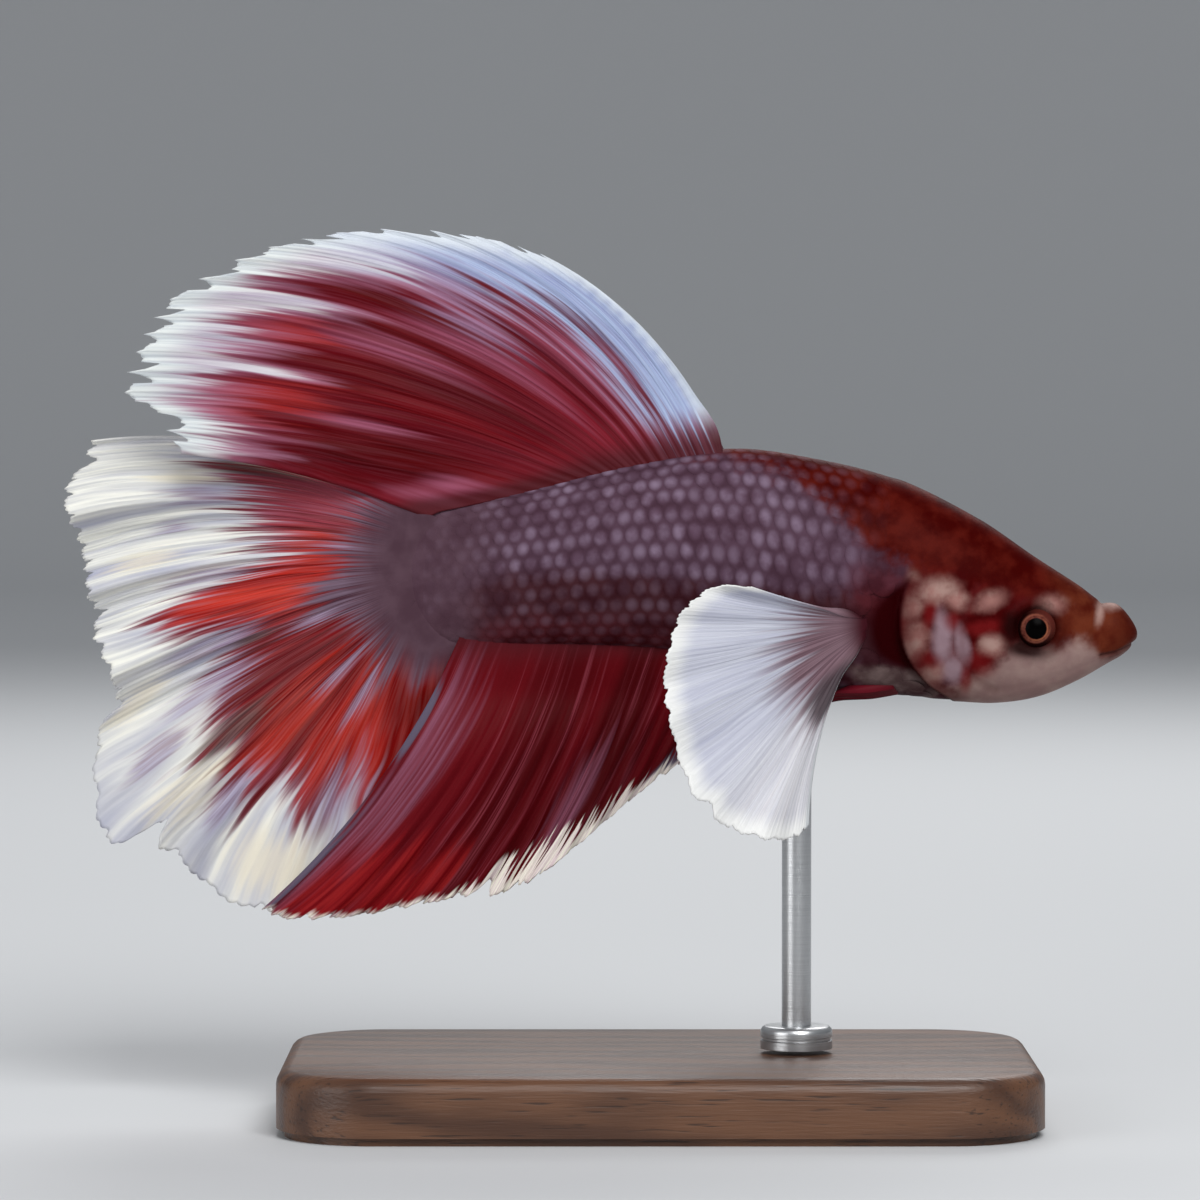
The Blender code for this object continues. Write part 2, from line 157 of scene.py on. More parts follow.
MOUTH_LINE = ((-0.6, -3.75), (0.5, -4.35), (1.4, -4.75), (2.3, -4.9))
LIP_FOLD = ((2.1, -1.4), (2.35, -2.2), (2.75, -3.3), (2.8, -4.0))
CHEEK_CREASE = ((10.0, -0.6), (10.8, -2.4), (10.9, -4.6), (10.3, -6.2), (8.8, -7.0))
JAW_CREASE = ((2.8, -5.3), (4.6, -6.0), (7.0, -6.75), (9.5, -7.1))
CREASES = ((MOUTH_LINE, 0.16, 0.09), (LIP_FOLD, 0.1, 0.22), (CHEEK_CREASE, 0.06, 0.3),
           (JAW_CREASE, 0.02, 0.2))
NOSTRIL = (4.1, -1.75)
CROWN_FOOT = ((0, -1.1), (6, -1.3), (8.5, -0.9), (10, -0.5), (12, 0.1), (14, 0.6), (15.8, 1.1), (17.6, 2.9),
              (20.7, 5.7), (24.3, 7.1), (30, 8), (45.8, 9))
SCALE_BED = 0.14
SKIN_AROUND, SKIN_ALONG = 220, 438

jaw_box, eye_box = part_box("lower_jaw"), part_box("eye_right")
SNOUT_X = max(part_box("head")[1].x, jaw_box[1].x)
AXIS_HEIGHT = (eye_box[0].z + eye_box[1].z) / 2 - EYE_UP * MM


def smooth_value(points, at, column=1):
    """The values of a column at places on the smooth curve through the points."""
    table = np.array(points, float)
    place, value = table[:, 0], table[:, column]
    last = len(place) - 1
    before = np.maximum(np.arange(last + 1) - 1, 0)
    after = np.minimum(np.arange(last + 1) + 1, last)
    slope = (value[after] - value[before]) / (place[after] - place[before])
    at = np.clip(at, place[0], place[-1])
    n = np.clip(np.searchsorted(place, at) - 1, 0, last - 1)
    span = place[n + 1] - place[n]
    t = (at - place[n]) / span
    return (
        value[n] * (2 * t**3 - 3 * t**2 + 1)
        + value[n + 1] * (3 * t**2 - 2 * t**3)
        + span * slope[n] * (t**3 - 2 * t**2 + t)
        + span * slope[n + 1] * (t**3 - t**2)
    )


def rise(value, low, high):
    """0 below low, 1 above high, and an even curve between them."""
    t = np.clip((value - low) / (high - low), 0, 1)
    return t * t * (3 - 2 * t)


def hump(value, width):
    return np.exp(-((value / width) ** 2))


def line_distance(back, up, line):
    """How far places on the side of the body are from a line of straight steps."""
    nearest = np.full(np.shape(back), np.inf)
    for (x0, y0), (x1, y1) in zip(line, line[1:]):
        along = ((back - x0) * (x1 - x0) + (up - y0) * (y1 - y0)) / ((x1 - x0) ** 2 + (y1 - y0) ** 2)
        along = np.clip(along, 0, 1)
        gap = np.hypot(back - x0 - along * (x1 - x0), up - y0 - along * (y1 - y0))
        nearest = np.minimum(nearest, gap)
    return nearest


def section(back):
    """(top, bottom, half width) of the body, the first two as heights over its axis, in millimetres."""
    top, bottom = smooth_value(BACK_LINE, back), smooth_value(BELLY_LINE, back)
    nose = np.minimum(back / SNOUT_ROUNDING, 1)
    tail = np.minimum((BODY_LENGTH - back) / TAIL_ROUNDING, 1)
    closing = np.sqrt(np.maximum(1 - (1 - nose) ** 2, 0)) * np.sqrt(np.maximum(1 - (1 - tail) ** 2, 0))
    centre = np.where(back < SNOUT_ROUNDING, SNOUT_TIP, (top + bottom) / 2)
    return (
        centre + (top - centre) * closing,
        centre + (bottom - centre) * closing,
        smooth_value(FLANK_LINE, back) * closing,
    )


def sway(back):
    return TAIL_SWAY * (np.maximum(back - SWAY_START, 0) / (BODY_LENGTH - SWAY_START)) ** 2


def body_point(back, turn):
    """Points of the body: turn runs from 0 at the left side through a quarter at the back."""
    top, bottom, half_width = section(back)
    lift = np.sin(turn)
    power = np.where(lift > 0, smooth_value(RIDGE_LINE, back), KEEL_POWER)
    across = np.sign(np.cos(turn)) * np.abs(np.cos(turn)) ** power
    return np.stack((
        SNOUT_X - back * MM,
        (sway(back) + across * half_width) * MM,
        AXIS_HEIGHT + ((top + bottom) / 2 + lift * (top - bottom) / 2) * MM,
    ), axis=-1)


def gill_distance(back, up):
    """How far behind the gill cover's free edge a place is, in millimetres."""
    return back - smooth_value(GILL_EDGE, up)


def relief(back, up):
    """How far the hide stands out from the body's plain form there, in millimetres."""
    from_eye = np.hypot(back - EYE_BACK, up - EYE_UP)
    height = -0.5 * (1 - rise(from_eye, 0.95, 1.5)) + 0.07 * hump(from_eye - 1.6, 0.25)
    height += 0.13 * hump(back - 8.6, 1.3) * hump(up + 4.9, 1.5)

    behind = gill_distance(back, up)
    opening = rise(up, -7.9, -7.2) * (1 - rise(up, -1.4, 0.4))
    cover = 0.2 * np.exp(np.minimum(behind, 0) / 1.1)
    slit = -0.42 * np.exp(-np.maximum(behind - 0.15, 0) / 0.85)
    edge = rise(behind, -0.06, 0.14)
    height += opening * (cover * (1 - edge) + slit * edge)
    sunk = SCALE_BED * rise(behind, 1.0, 2.4) * (1 - rise(back, 42.6, 44.8))
    height -= sunk * (1 - 0.3 * rise(up - smooth_value(CROWN_FOOT, back), -1, 1))

    for line, depth, width in CREASES:
        height -= depth * hump(line_distance(back, up, line), width)
    height += -0.09 * hump(np.hypot(back - NOSTRIL[0], up - NOSTRIL[1]), 0.13)
    return height


# Soft spots as (back, up, half length, half height) and maybe a lean, in millimetres and degrees.
HIDE_SPOTS = {
    "pink_spot": ((12.4, -0.85, 1.5, 0.8, -10), (11.3, -1.45, 0.8, 0.8), (9.15, -1.5, 1.1, 0.65, -25),
                  (13.9, -1.9, 0.65, 0.75), (13.7, -3.9, 0.75, 1.3, 10), (9.1, -4.2, 0.8, 0.7),
                  (5.4, -1.7, 0.9, 0.7), (14.3, 0.3, 1.0, 0.45, 38), (12.6, -5.9, 0.7, 0.7)),
    "lilac_spot": ((12.1, -3.8, 0.6, 1.7), (10.9, -4.15, 0.45, 1.2, -12), (11.5, -5.7, 0.7, 0.8)),
    "red_spot": ((12.95, -2.35, 0.4, 0.9, 10), (9.7, -3.1, 1.3, 0.45, -8), (11.5, -2.65, 0.5, 0.6),
                 (9.7, -5.35, 0.9, 0.8), (12.9, -5.1, 0.8, 0.5, 20), (10.6, -6.3, 0.35, 0.9)),
    "socket_shade": ((6.5, -3.3, 1.7, 1.7), (7.8, -3.1, 0.8, 1.2), (6.9, -4.4, 1.4, 0.6, 6)),
    "breast_spot": ((15, -6.35, 2.8, 0.85, 10), (12.2, -7.0, 1.2, 0.4, -30)),
    "wine_spot": ((15.9, -1, 2.6, 2.6),),
    "lip_shine": ((2.35, -2.1, 0.28, 0.9, 12), (1.6, -1.75, 0.9, 0.4, -8)),
}


def spots(back, up, places):
    """1 at the middle of each spot, 0 at its rim and less beyond."""
    nearest = np.full(np.shape(back), -9.0)
    for middle_back, middle_up, half_length, half_height, *lean in places:
        turned = math.radians(lean[0] if lean else 0)
        over, rear = up - middle_up, back - middle_back
        along = (rear * math.cos(turned) + over * math.sin(turned)) / half_length
        across = (over * math.cos(turned) - rear * math.sin(turned)) / half_height
        nearest = np.maximum(nearest, 1 - np.hypot(along, across))
    return nearest


CHEEK_TOP = ((0, -3.85), (1.2, -4.75), (2.3, -4.9), (2.9, -4.45), (4.3, -4.2), (5.1, -4.7), (7.6, -4.6),
             (8.9, -5.5), (10.2, -6.4), (11.2, -7.1), (13, -6.6), (14.2, -5.6), (17, -5.5), (19, -6.6),
             (23, -9))
DUSK_TOP = ((14, -1.2), (17, -0.9), (24, -0.6), (30, 0), (36, 0.2), (40, -0.3), (43, -2.5), (45.8, -5))
SLIT_WIDTH = ((-9, 0.2), (-6.2, 0.25), (-5.5, 0.8), (-4.8, 1.6), (-3.6, 1.8), (-2.4, 1.6), (-1.4, 1.1),
              (-0.6, 0.3), (0.2, -0.7), (1, -1.2), (10, -1.2))


def markings(back, up):
    """The fields that the hide and its scales are coloured by, in millimetres unless they are spots."""
    behind = gill_distance(back, up)
    return {
        "behind_gill": np.clip(behind, -9, 9),
        "in_slit": np.clip(np.minimum(3 * behind + 0.3, smooth_value(SLIT_WIDTH, up) - behind), -2, 2),
        "below_cheek": smooth_value(CHEEK_TOP, back) - up,
        "over_crown": up - smooth_value(CROWN_FOOT, back),
        "below_dusk": smooth_value(DUSK_TOP, back) - up,
        "from_mouth": line_distance(back, up, MOUTH_LINE),
        "from_fold": line_distance(back, up, CHEEK_CREASE),
        **{name: spots(back, up, places) for name, places in HIDE_SPOTS.items()},
    }


def move_vertices(mesh, places):
    mesh.vertices.foreach_set("co", places.astype(np.float32).ravel())
    mesh.update()


def set_fields(mesh, fields):
    for name, values in fields.items():
        field = mesh.attributes.new(name, "FLOAT", "POINT")
        field.data.foreach_set("value", np.asarray(values, np.float32).ravel())


def vertex_places(mesh):
    places = np.empty(len(mesh.vertices) * 3, np.float32)
    mesh.vertices.foreach_get("co", places)
    return places.reshape(-1, 3).astype(float)


def to_object(name, mesh, finish):
    mesh.shade_smooth()
    mesh.materials.append(finish)
    piece = bpy.data.objects.new(name, mesh)
    bpy.context.scene.collection.objects.link(piece)
    return piece


def paint(red, green, blue):
    """A colour as the shader needs it, from its display values out of 255."""
    return tuple((v / 255 / 12.92 if v < 11 else ((v / 255 + 0.055) / 1.055) ** 2.4)
                 for v in (red, green, blue)) + (1,)


class Wire:
    """A socket in a material's node tree. Sums written with it become Math nodes."""

    def __init__(self, tree, socket=None):
        self.tree = tree
        self.socket = socket

    def node(self, kind, settings=None, sockets=None, output=0):
        """Any node: its settings first, then the values or links of its sockets."""
        made = self.tree.nodes.new("ShaderNode" + kind)
        for key, value in (settings or {}).items():
            setattr(made, key, value)
        for key, value in (sockets or {}).items():
            if isinstance(value, Wire):
                self.tree.links.new(value.socket, made.inputs[key])
            else:
                made.inputs[key].default_value = value
        return Wire(self.tree, made.outputs[output])

    def maths(self, operation, *others):
        return self.node("Math", {"operation": operation}, dict(enumerate((self,) + others)))

    def __add__(self, other):
        return self.maths("ADD", other)

    __radd__ = __add__

    def __sub__(self, other):
        return self.maths("SUBTRACT", other)

    def __rsub__(self, other):
        return self * -1 + other

    def __mul__(self, other):
        return self.maths("MULTIPLY", other)

    __rmul__ = __mul__

    def step(self, low, high):
        """An even curve from 0 at low to 1 at high."""
        return self.node("MapRange", {"interpolation_type": "SMOOTHSTEP"},
                         {"Value": self, "From Min": low, "From Max": high})

    def about(self, size):
        """A noise's swing to both sides of nothing."""
        return (self - 0.5) * size

    def over(self, under, colour):
        """A colour laid over another, as thick as this value says. Plain ones are display values."""
        under, colour = (paint(*c) if isinstance(c, tuple) else c for c in (under, colour))
        return self.node("Mix", {"data_type": "RGBA"}, {0: self, 6: under, 7: colour}, 2)

    def field(self, name):
        return self.node("Attribute", {"attribute_name": name}, None, 2)

    def marking(self, name, wander, low, high):
        """A field as a soft edged marking, with its outline made to wander."""
        return (self.field(name) + wander).step(low, high)

    def part(self, axis):
        return self.node("SeparateXYZ", None, {0: self}, axis)

    def stretched(self, *scale):
        return self.node("Mapping", None, {"Vector": self, "Scale": scale})

    def noise(self, scale, detail, **more):
        return self.node("TexNoise", None, {"Vector": self, "Scale": scale, "Detail": detail, **more})

    def bump(self, strength, depth=0.0001):
        return self.node("Bump", None, {"Strength": strength, "Distance": depth, "Height": self})


def layered(colour, *layers):
    """Layers of (how thick, what colour) on a first colour, one after the other."""
    for thick, tint in layers:
        colour = thick.over(colour, tint)
    return colour


def new_finish(name, **constants):
    """A material, its blank Wire and its shader, with the given sockets set."""
    finish = bpy.data.materials.new(name)
    finish.use_nodes = True
    shader = finish.node_tree.nodes["Principled BSDF"]
    for key, value in constants.items():
        shader.inputs[key.replace("_", " ")].default_value = value
    return finish, Wire(finish.node_tree), shader


def connect(shader, **wires):
    for key, wire in wires.items():
        wire.tree.links.new(wire.socket, shader.inputs[key.replace("_", " ")])


STALK_TINTS = (70, 48, 58), (82, 60, 70)


def hide_finish(name, scaled):
    """The fish's own colours, with painted shade round the eyes, along the mouth and the cheek's crease and
    in the gill slit, and a painted highlight on the lips. On scales, a pale painted glint sits in the middle
    of each one.
    """
    finish, blank, shader = new_finish(name, Specular_IOR_Level=0.015)
    place = blank.node("TexCoord", None, None, 3)
    cloudy, mottle, grain = place.noise(700, 4), place.noise(2400, 3), place.noise(9000, 2)
    drift = cloudy.about(2.6) + mottle.about(1.8)
    haze = cloudy.about(2.6) + mottle.about(0.5)
    cloud = 0.7 + cloudy * 0.5
    back = (SNOUT_X - place.part(0)) * (1 / MM)
    behind_gill = blank.field("behind_gill")

    def clouded(dark, light, low=0.35, high=0.65):
        return cloudy.step(low, high).over(dark, light)

    dusk = blank.marking("below_dusk", drift * 0.4, -0.6, 0.7)
    stalk, tail_end = back.step(36.5, 42), back.step(41.5, 39.5)
    belly = blank.marking("below_dusk", drift * 0.4, 1.8, 4.2) * back.step(20, 24) * tail_end
    wine = belly.maths("MAXIMUM", blank.marking("wine_spot", drift * 0.15, -0.1, 0.7))
    breast = blank.marking("breast_spot", drift * 0.15, -0.2, 0.5)
    crown = blank.marking("over_crown", drift * 0.8, -1.0, 1.0)
    snout = (back.step(2.4, 0.6) * 0.6).over(clouded((68, 16, 8), (96, 42, 25), 0.3, 0.7), (62, 16, 10))
    face = layered(
        clouded((56, 2, 3), (82, 14, 15)),
        (back.step(6.5, 3.8), snout),
        (blank.marking("below_cheek", drift * 0.4, -0.9, 0.6),
         clouded((128, 101, 98), (144, 120, 114), 0.3, 0.75)),
        (blank.marking("lilac_spot", haze * 0.35, -0.6, 0.7) * cloud, (138, 114, 122)),
        (blank.marking("pink_spot", haze * 0.4, -0.5, 0.9) * cloud,
         clouded((150, 106, 100), (154, 124, 116), 0.4, 0.6)),
        (blank.marking("red_spot", haze * 0.35, -0.6, 0.8) * 0.65, (104, 18, 20)),
        (behind_gill.step(-1.9, -0.2) * 0.6, (70, 26, 26)),
        (back.step(3.6, 2.2) * blank.field("below_cheek").step(0.4, -0.4), snout),
    )
    colour = layered(
        clouded((66, 44, 56), (80, 58, 72)),
        (dusk, clouded((50, 20, 26), (64, 34, 40))),
        (stalk * (0.85 - dusk * tail_end * 0.5), clouded(*STALK_TINTS, 0.3, 0.7)),
        (wine * 0.75, clouded((56, 10, 14), (76, 26, 32))),
        (breast, clouded((76, 58, 58), (110, 92, 90))),
        (behind_gill.step(0.5, -0.3), face),
        (crown, back.step(3.2, 6.5).over(snout, clouded((56, 2, 1), (80, 18, 11), 0.35, 0.7))),
        (blank.marking("lip_shine", drift * 0.3, -0.6, 1.1) * 0.85, (164, 134, 126)),
        # Painted shade along the mouth's line and, fainter, in the cheek's crease.
        (blank.field("from_mouth").step(0.3, 0.0) * 0.5, (58, 14, 10)),
        (blank.field("from_fold").step(0.4, 0.05) * 0.25, (76, 24, 26)),
        (blank.marking("socket_shade", drift * 0.2, -0.4, 0.6) * 0.93, (24, 4, 4)),
        # The gill slit's own dark red, with painted shade in the opening.
        (blank.field("in_slit").step(-0.8, 0.5), (38, 0, 2)),
    )
    if scaled:
        bare = (1 - breast * 0.9) * (1 - wine * 0.5)
        along, across = blank.field("plate_along"), blank.field("plate_across")
        # A pale painted glint in the middle of each scale, fainter on the crown, the lower flank, the tail
        # root and the breast.
        out = (along - 0.42) * (along - 0.42) * 3.4 + across * across * 1.8
        shown = out.step(1.05, -0.45) * (1 - crown * 0.75) * (1 - dusk * 0.65) * (1 - stalk * 0.9) * bare
        shown = shown * behind_gill.step(1, 7) * (0.35 + cloudy * 1.3)
        rim = (along * along + across * across).step(0.5, 1.0) * (1 - stalk * 0.7) * bare
        colour = layered(
            colour,
            (shown * blank.field("tint"), clouded((114, 90, 110), (148, 130, 152))),
            (rim * 0.05, (44, 22, 32)),
        )
    connect(shader, Base_Color=colour, Roughness=grain * 0.14 + 0.36,
            Normal=(mottle * 0.5 + grain * 0.5).bump(0.2))
    return finish


ball = bmesh.new()
bmesh.ops.create_uvsphere(ball, u_segments=SKIN_AROUND, v_segments=SKIN_ALONG, radius=1)
skin_mesh = finished_mesh("skin", ball)
round_places = vertex_places(skin_mesh)
half_turn = np.sin(np.arccos(np.clip(round_places[:, 2], -1, 1)) / 2) ** 2
backs = BODY_LENGTH * half_turn * (0.5 + 0.5 * half_turn)
turns = np.arctan2(round_places[:, 1], round_places[:, 0])
plain = body_point(backs, turns)
move_vertices(skin_mesh, plain)
normals = np.empty(len(plain) * 3, np.float32)
skin_mesh.vertex_normals.foreach_get("vector", normals)
normals = normals.reshape(-1, 3).astype(float)
ups = (plain[:, 2] - AXIS_HEIGHT) / MM
move_vertices(skin_mesh, plain + normals * relief(backs, ups)[:, None] * MM)
set_fields(skin_mesh, markings(backs, ups))
skin = to_object("skin", skin_mesh, hide_finish("wet_hide", scaled=False))
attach(skin, "root")
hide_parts("head", "lower_jaw", "gill_cover_left", "gill_cover_right", "trunk", "tail_root")


# The scales are thin rounded plates of bone, set in slanting rows with their front edges in the skin
# and their rear edges free, each one over the next. They run from the gill covers to the tail fin.
SCALE_ROWS, SCALE_TOP, SCALE_FOOT = 15, math.radians(80), math.radians(-76)
SCALE_START, SCALE_END, SCALE_STEP = 13.4, 43.8, 0.95
SCALE_LENGTH, SCALE_OVERLAP, SCALE_THICKNESS, SCALE_LIFT = 1.75, 1.45, 0.02, 0.06
PATCH = 0.003
TINT_SEED, TINTS = 11, (0.3, 0.65)


def lay_map(mesh, name, across, along):
    """A UV map from two values at each vertex."""
    layer = mesh.uv_layers.new(name=name)
    corner_of = np.empty(len(mesh.loops), np.int32)
    mesh.loops.foreach_get("vertex_index", corner_of)
    flat = np.stack((across.ravel(), along.ravel()), axis=1)[corner_of]
    layer.data.foreach_set("uv", flat.astype(np.float32).ravel())


def scale_coat(name, side, finish):
    """All the scales of one side as one mesh."""
    plate = bmesh.new()
    bmesh.ops.create_uvsphere(plate, u_segments=12, v_segments=5, radius=1)
    plate_mesh = finished_mesh("plate", plate)
    local = vertex_places(plate_mesh)
    local[:, 2] = np.clip(local[:, 2] * 4, -1, 1)
    plate_faces = [tuple(face.vertices)[::side] for face in plate_mesh.polygons]

    row_turn = (SCALE_TOP - SCALE_FOOT) / (SCALE_ROWS - 1)
    roots = []
    for row in range(SCALE_ROWS):
        turn = SCALE_FOOT + row_turn * row
        along = np.arange(SCALE_START + (row % 2) * SCALE_STEP / 2, SCALE_END, SCALE_STEP)
        for back in along:
            up = (body_point(np.array(back), np.array(turn))[2] - AXIS_HEIGHT) / MM
            if gill_distance(back, up) > 0.9 + max(smooth_value(SLIT_WIDTH, up), 0):
                roots.append((back, turn))
    roots = np.array(roots)
    shrink = 1 - 0.2 * rise(roots[:, 0], 33, 44)[:, None]
    back = roots[:, 0, None] + local[None, :, 0] * SCALE_LENGTH / 2 * shrink
    turn = roots[:, 1, None] + local[None, :, 1] * row_turn / 2 * SCALE_OVERLAP
    back = np.minimum(back, BODY_LENGTH - 0.2)

    def point(back, turn):
        return body_point(back, turn if side > 0 else math.pi - turn)

    here = point(back, turn)
    rear = point(back + 0.05, turn) - here
    over = point(back, turn + 0.01) - here
    outward = np.cross(rear, over) * side
    outward /= np.linalg.norm(outward, axis=-1)[..., None]
    root_ups = (point(roots[:, 0], roots[:, 1])[:, 2] - AXIS_HEIGHT) / MM
    shown = 1 - 0.6 * rise(root_ups - smooth_value(CROWN_FOOT, roots[:, 0]), -1, 1)
    shown *= 1 - 0.7 * rise(roots[:, 0], 38, 43.5)
    shown *= 1 - 0.7 * rise(spots(roots[:, 0], root_ups, HIDE_SPOTS["breast_spot"]), -0.4, 0.3)
    lifted = shown[:, None] * SCALE_LIFT * (local[None, :, 0] + 1) / 2 - SCALE_BED + 0.03
    height = lifted + local[None, :, 2] * SCALE_THICKNESS
    places = here + outward * height[..., None] * MM
    count, corners = back.shape
    faces = [tuple(n * corners + corner for corner in face) for n in range(count) for face in plate_faces]
    mesh = bpy.data.meshes.new(name)
    mesh.from_pydata(places.reshape(-1, 3).tolist(), [], faces)
    mesh.update()

    tints = np.random.default_rng(TINT_SEED).uniform(*TINTS, count)
    set_fields(mesh, {
        **markings(back, (here[..., 2] - AXIS_HEIGHT) / MM),
        "plate_along": local[None, :, 0] + 0 * back,
        "plate_across": local[None, :, 1] + 0 * back,
        "tint": tints[:, None] + 0 * back,
    })
    share_back = 0.9 * (roots[:, :1] - SCALE_START) / (BODY_LENGTH - SCALE_START)
    share_round = 0.9 * (roots[:, 1:] - SCALE_FOOT) / (SCALE_TOP - SCALE_FOOT)
    lay_map(mesh, "OFBake", 0.05 + share_back + local[None, :, 0] * PATCH / 2,
            0.05 + share_round + local[None, :, 1] * PATCH / 2)
    coat = to_object(name, mesh, finish)
    mesh.set_sharp_from_angle(angle=math.radians(30))
    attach(coat, "root")


scale_finish = hide_finish("scale_hide", scaled=True)
scale_coat("scales_left", 1, scale_finish)
scale_coat("scales_right", -1, scale_finish)


# Each eye is a wet ball let into its socket: a black pupil in a copper iris with a pale line at both its
# rims, painted brighter on one side as a highlight, and dark flesh round it, with painted shade from the
# socket darkest towards the rear and the bottom. It is painted round its own axis, which points out sideways.
PUPIL_RADIUS, IRIS_RADIUS = 0.64, 0.88

eye_finish, blank, shader = new_finish("eye_wet", Specular_IOR_Level=0.02)
place = blank.node("TexCoord", None, None, 3)
axis = (SNOUT_X - EYE_BACK * MM, 0, AXIS_HEIGHT + EYE_UP * MM)
off_axis = place.node("VectorMath", {"operation": "SUBTRACT"}, {0: place, 1: axis})
off_axis = place.node("VectorMath", {"operation": "MULTIPLY"}, {0: off_axis, 1: (1, 0, 1)})
radius = place.node("VectorMath", {"operation": "LENGTH"}, {0: off_axis}, 1) * (1 / MM)
ahead, over = off_axis.part(0) * (1 / MM), off_axis.part(2) * (1 / MM)
fleck = place.noise(5000, 3)
inner = radius.step(PUPIL_RADIUS, PUPIL_RADIUS + 0.04) * radius.step(PUPIL_RADIUS + 0.16, PUPIL_RADIUS + 0.06)
outer = radius.step(IRIS_RADIUS - 0.14, IRIS_RADIUS - 0.05)
outer = outer * radius.step(IRIS_RADIUS + 0.05, IRIS_RADIUS - 0.02)
connect(shader, Roughness=fleck * 0.1 + 0.25, Base_Color=layered(
    fleck.step(0.3, 0.7).over((72, 30, 26), (102, 54, 44)),
    # The pale rim lines are painted brighter on one side, as highlights.
    (inner * (ahead - over).step(-0.5, 1.0) * 0.5, (170, 104, 70)),
    (outer * (ahead * -0.5 + over).maths("ABSOLUTE").step(0.1, 0.9) * 0.4, (150, 88, 68)),
    # Painted shade from the socket round the iris, darkest towards the rear and the bottom.
    (radius.step(IRIS_RADIUS - 0.04, IRIS_RADIUS + 0.1),
     (ahead * 0.8 + over * 0.5).step(-0.2, 1.2).over((24, 5, 5), (84, 36, 30))),
    (radius.step(PUPIL_RADIUS + 0.03, PUPIL_RADIUS - 0.03), (2, 1, 1)),
))
for label in ("left", "right"):
    low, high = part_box(f"eye_{label}")
    centre, eye_radius = (low + high) / 2, (high.y - low.y) / 2
    eyeball = bmesh.new()
    bmesh.ops.create_uvsphere(eyeball, u_segments=64, v_segments=40, radius=eye_radius)
    bmesh.ops.rotate(eyeball, verts=eyeball.verts, cent=(0, 0, 0),
                     matrix=Matrix.Rotation(math.radians(90), 3, "X"))
    bmesh.ops.translate(eyeball, verts=eyeball.verts, vec=centre)
    name = f"eyeball_{label}"
    eye = to_object(name, finished_mesh(name, eyeball), eye_finish)
    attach(eye, "root")
    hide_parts(f"eye_{label}")


# The dorsal fin is a thin silky web on branching bony rays, which fan out from the back and sweep to
# the rear. A band of lilac runs up its front, its ragged rear edge is white, and the rest is crimson.
DORSAL_RAYS = ((0, 112, 21, 0.7), (0.05, 109, 12, 2.2), (0.11, 112, 36, 15.3), (0.2, 113, 45, 19.1),
               (0.34, 119, 53, 24.8), (0.48, 128, 49, 27.8), (0.6, 139, 42, 29.8), (0.75, 151, 29, 28.9),
               (0.87, 161, 18, 27), (0.94, 167, 6, 21.6), (0.975, 163, 11, 18.2), (1, 158, 16, 14.6))
DORSAL_ROOT = ((0, 24.8), (0.3, 28.2), (0.6, 31.6), (0.8, 34), (0.88, 35.4), (0.94, 38), (1, 44.2))
DORSAL_SPLITS = ((0.155, 0.8, 0.014), (0.27, 0.6, 0.014), (0.905, 1.1, 0.014))
DORSAL_TRIM = ((0, 0.3), (0.2, 1.5), (0.3, 5), (0.35, 6), (0.4, 4.6), (0.45, 8), (0.5, 5.5), (0.55, 2),
               (0.585, 7.6), (0.62, 5.4), (0.66, 4), (0.7, 5), (0.735, 3.6), (0.77, 7.4), (0.8, 3.8),
               (0.84, 3.4), (0.885, 1.1), (0.93, 3.6), (0.96, 2), (1, 1))
# Patches are spots on the spread fin: how far across and along the rays, then half the width and length.
DORSAL_PATCHES = {
    "rose": ((0.38, 0.34, 0.1, 0.24), (0.3, 0.3, 0.06, 0.2), (0.64, 0.56, 0.03, 0.26),
             (0.87, 0.45, 0.02, 0.14), (0.965, 0.12, 0.02, 0.1), (0.56, 0.4, 0.02, 0.2)),
    "haze": ((0.5, 0.46, 0.03, 0.12), (0.42, 0.66, 0.02, 0.16), (0.34, 0.6, 0.03, 0.2),
             (0.46, 0.6, 0.03, 0.16)),
    "deep": ((0.75, 0.42, 0.09, 0.3), (0.92, 0.42, 0.07, 0.32), (0.6, 0.52, 0.03, 0.26),
             (0.68, 0.7, 0.03, 0.1), (0.41, 0.66, 0.03, 0.2), (0.53, 0.68, 0.02, 0.24)),
    "warm": ((0.83, 0.74, 0.05, 0.16), (0.66, 0.76, 0.04, 0.1), (0.89, 0.86, 0.02, 0.14)),
}
RAY_WEIGHT, LINES_PER_RAY, LINE_SEED = 0.1, 14, 31

# The build of a fin, apart from the values that are its own. Forks are how far along the rays they are.
USUAL_FIN = {"twig_depth": 0.12, "along": 84, "thickness": 1.2, "thin": 0.08, "flesh": 1.4, "rooting": 1.0,
             "forks": (0.3, 0.65), "banded": False, "fields": {}, "patches": {}}


def branching(share, reach, teeth, first, second):
    """How high the nearest ray stands, from 0 on the web to 1. Rays fork at first and at second."""
    tooth = share * teeth
    offset = tooth - np.round(tooth)
    fork = 0.25 * rise(reach, first, first + 0.4)
    twig = 0.125 * rise(reach, second, second + 0.35)
    nearest = np.full(np.shape(share), 9.0)
    for way in (-1, 1):
        for side in (-1, 1):
            nearest = np.minimum(nearest, np.abs(offset - way * fork - side * twig))
    return hump(nearest, 0.075)


def edge_setback(share, fan):
    """How far the web stands back from the ray tips, in millimetres: in spikes or in round lobes."""
    tooth = share * fan["teeth"]
    size = 0.6 + 0.4 * np.sin(2.4 * np.round(tooth) + 1)
    spike = np.abs(np.sin(math.pi * tooth)) ** 0.8
    lobe = 1 - np.abs(np.cos(math.pi * tooth))
    web = fan["tooth_depth"] * size * (spike * fan["spiky"] + lobe * (1 - fan["spiky"]))
    twigs = fan["twig_depth"] * (1 - np.abs(np.cos(4 * math.pi * tooth + 0.3)))
    splits = sum(deep * hump(share - at, wide) for at, deep, wide in fan["splits"])
    return web + twigs + splits


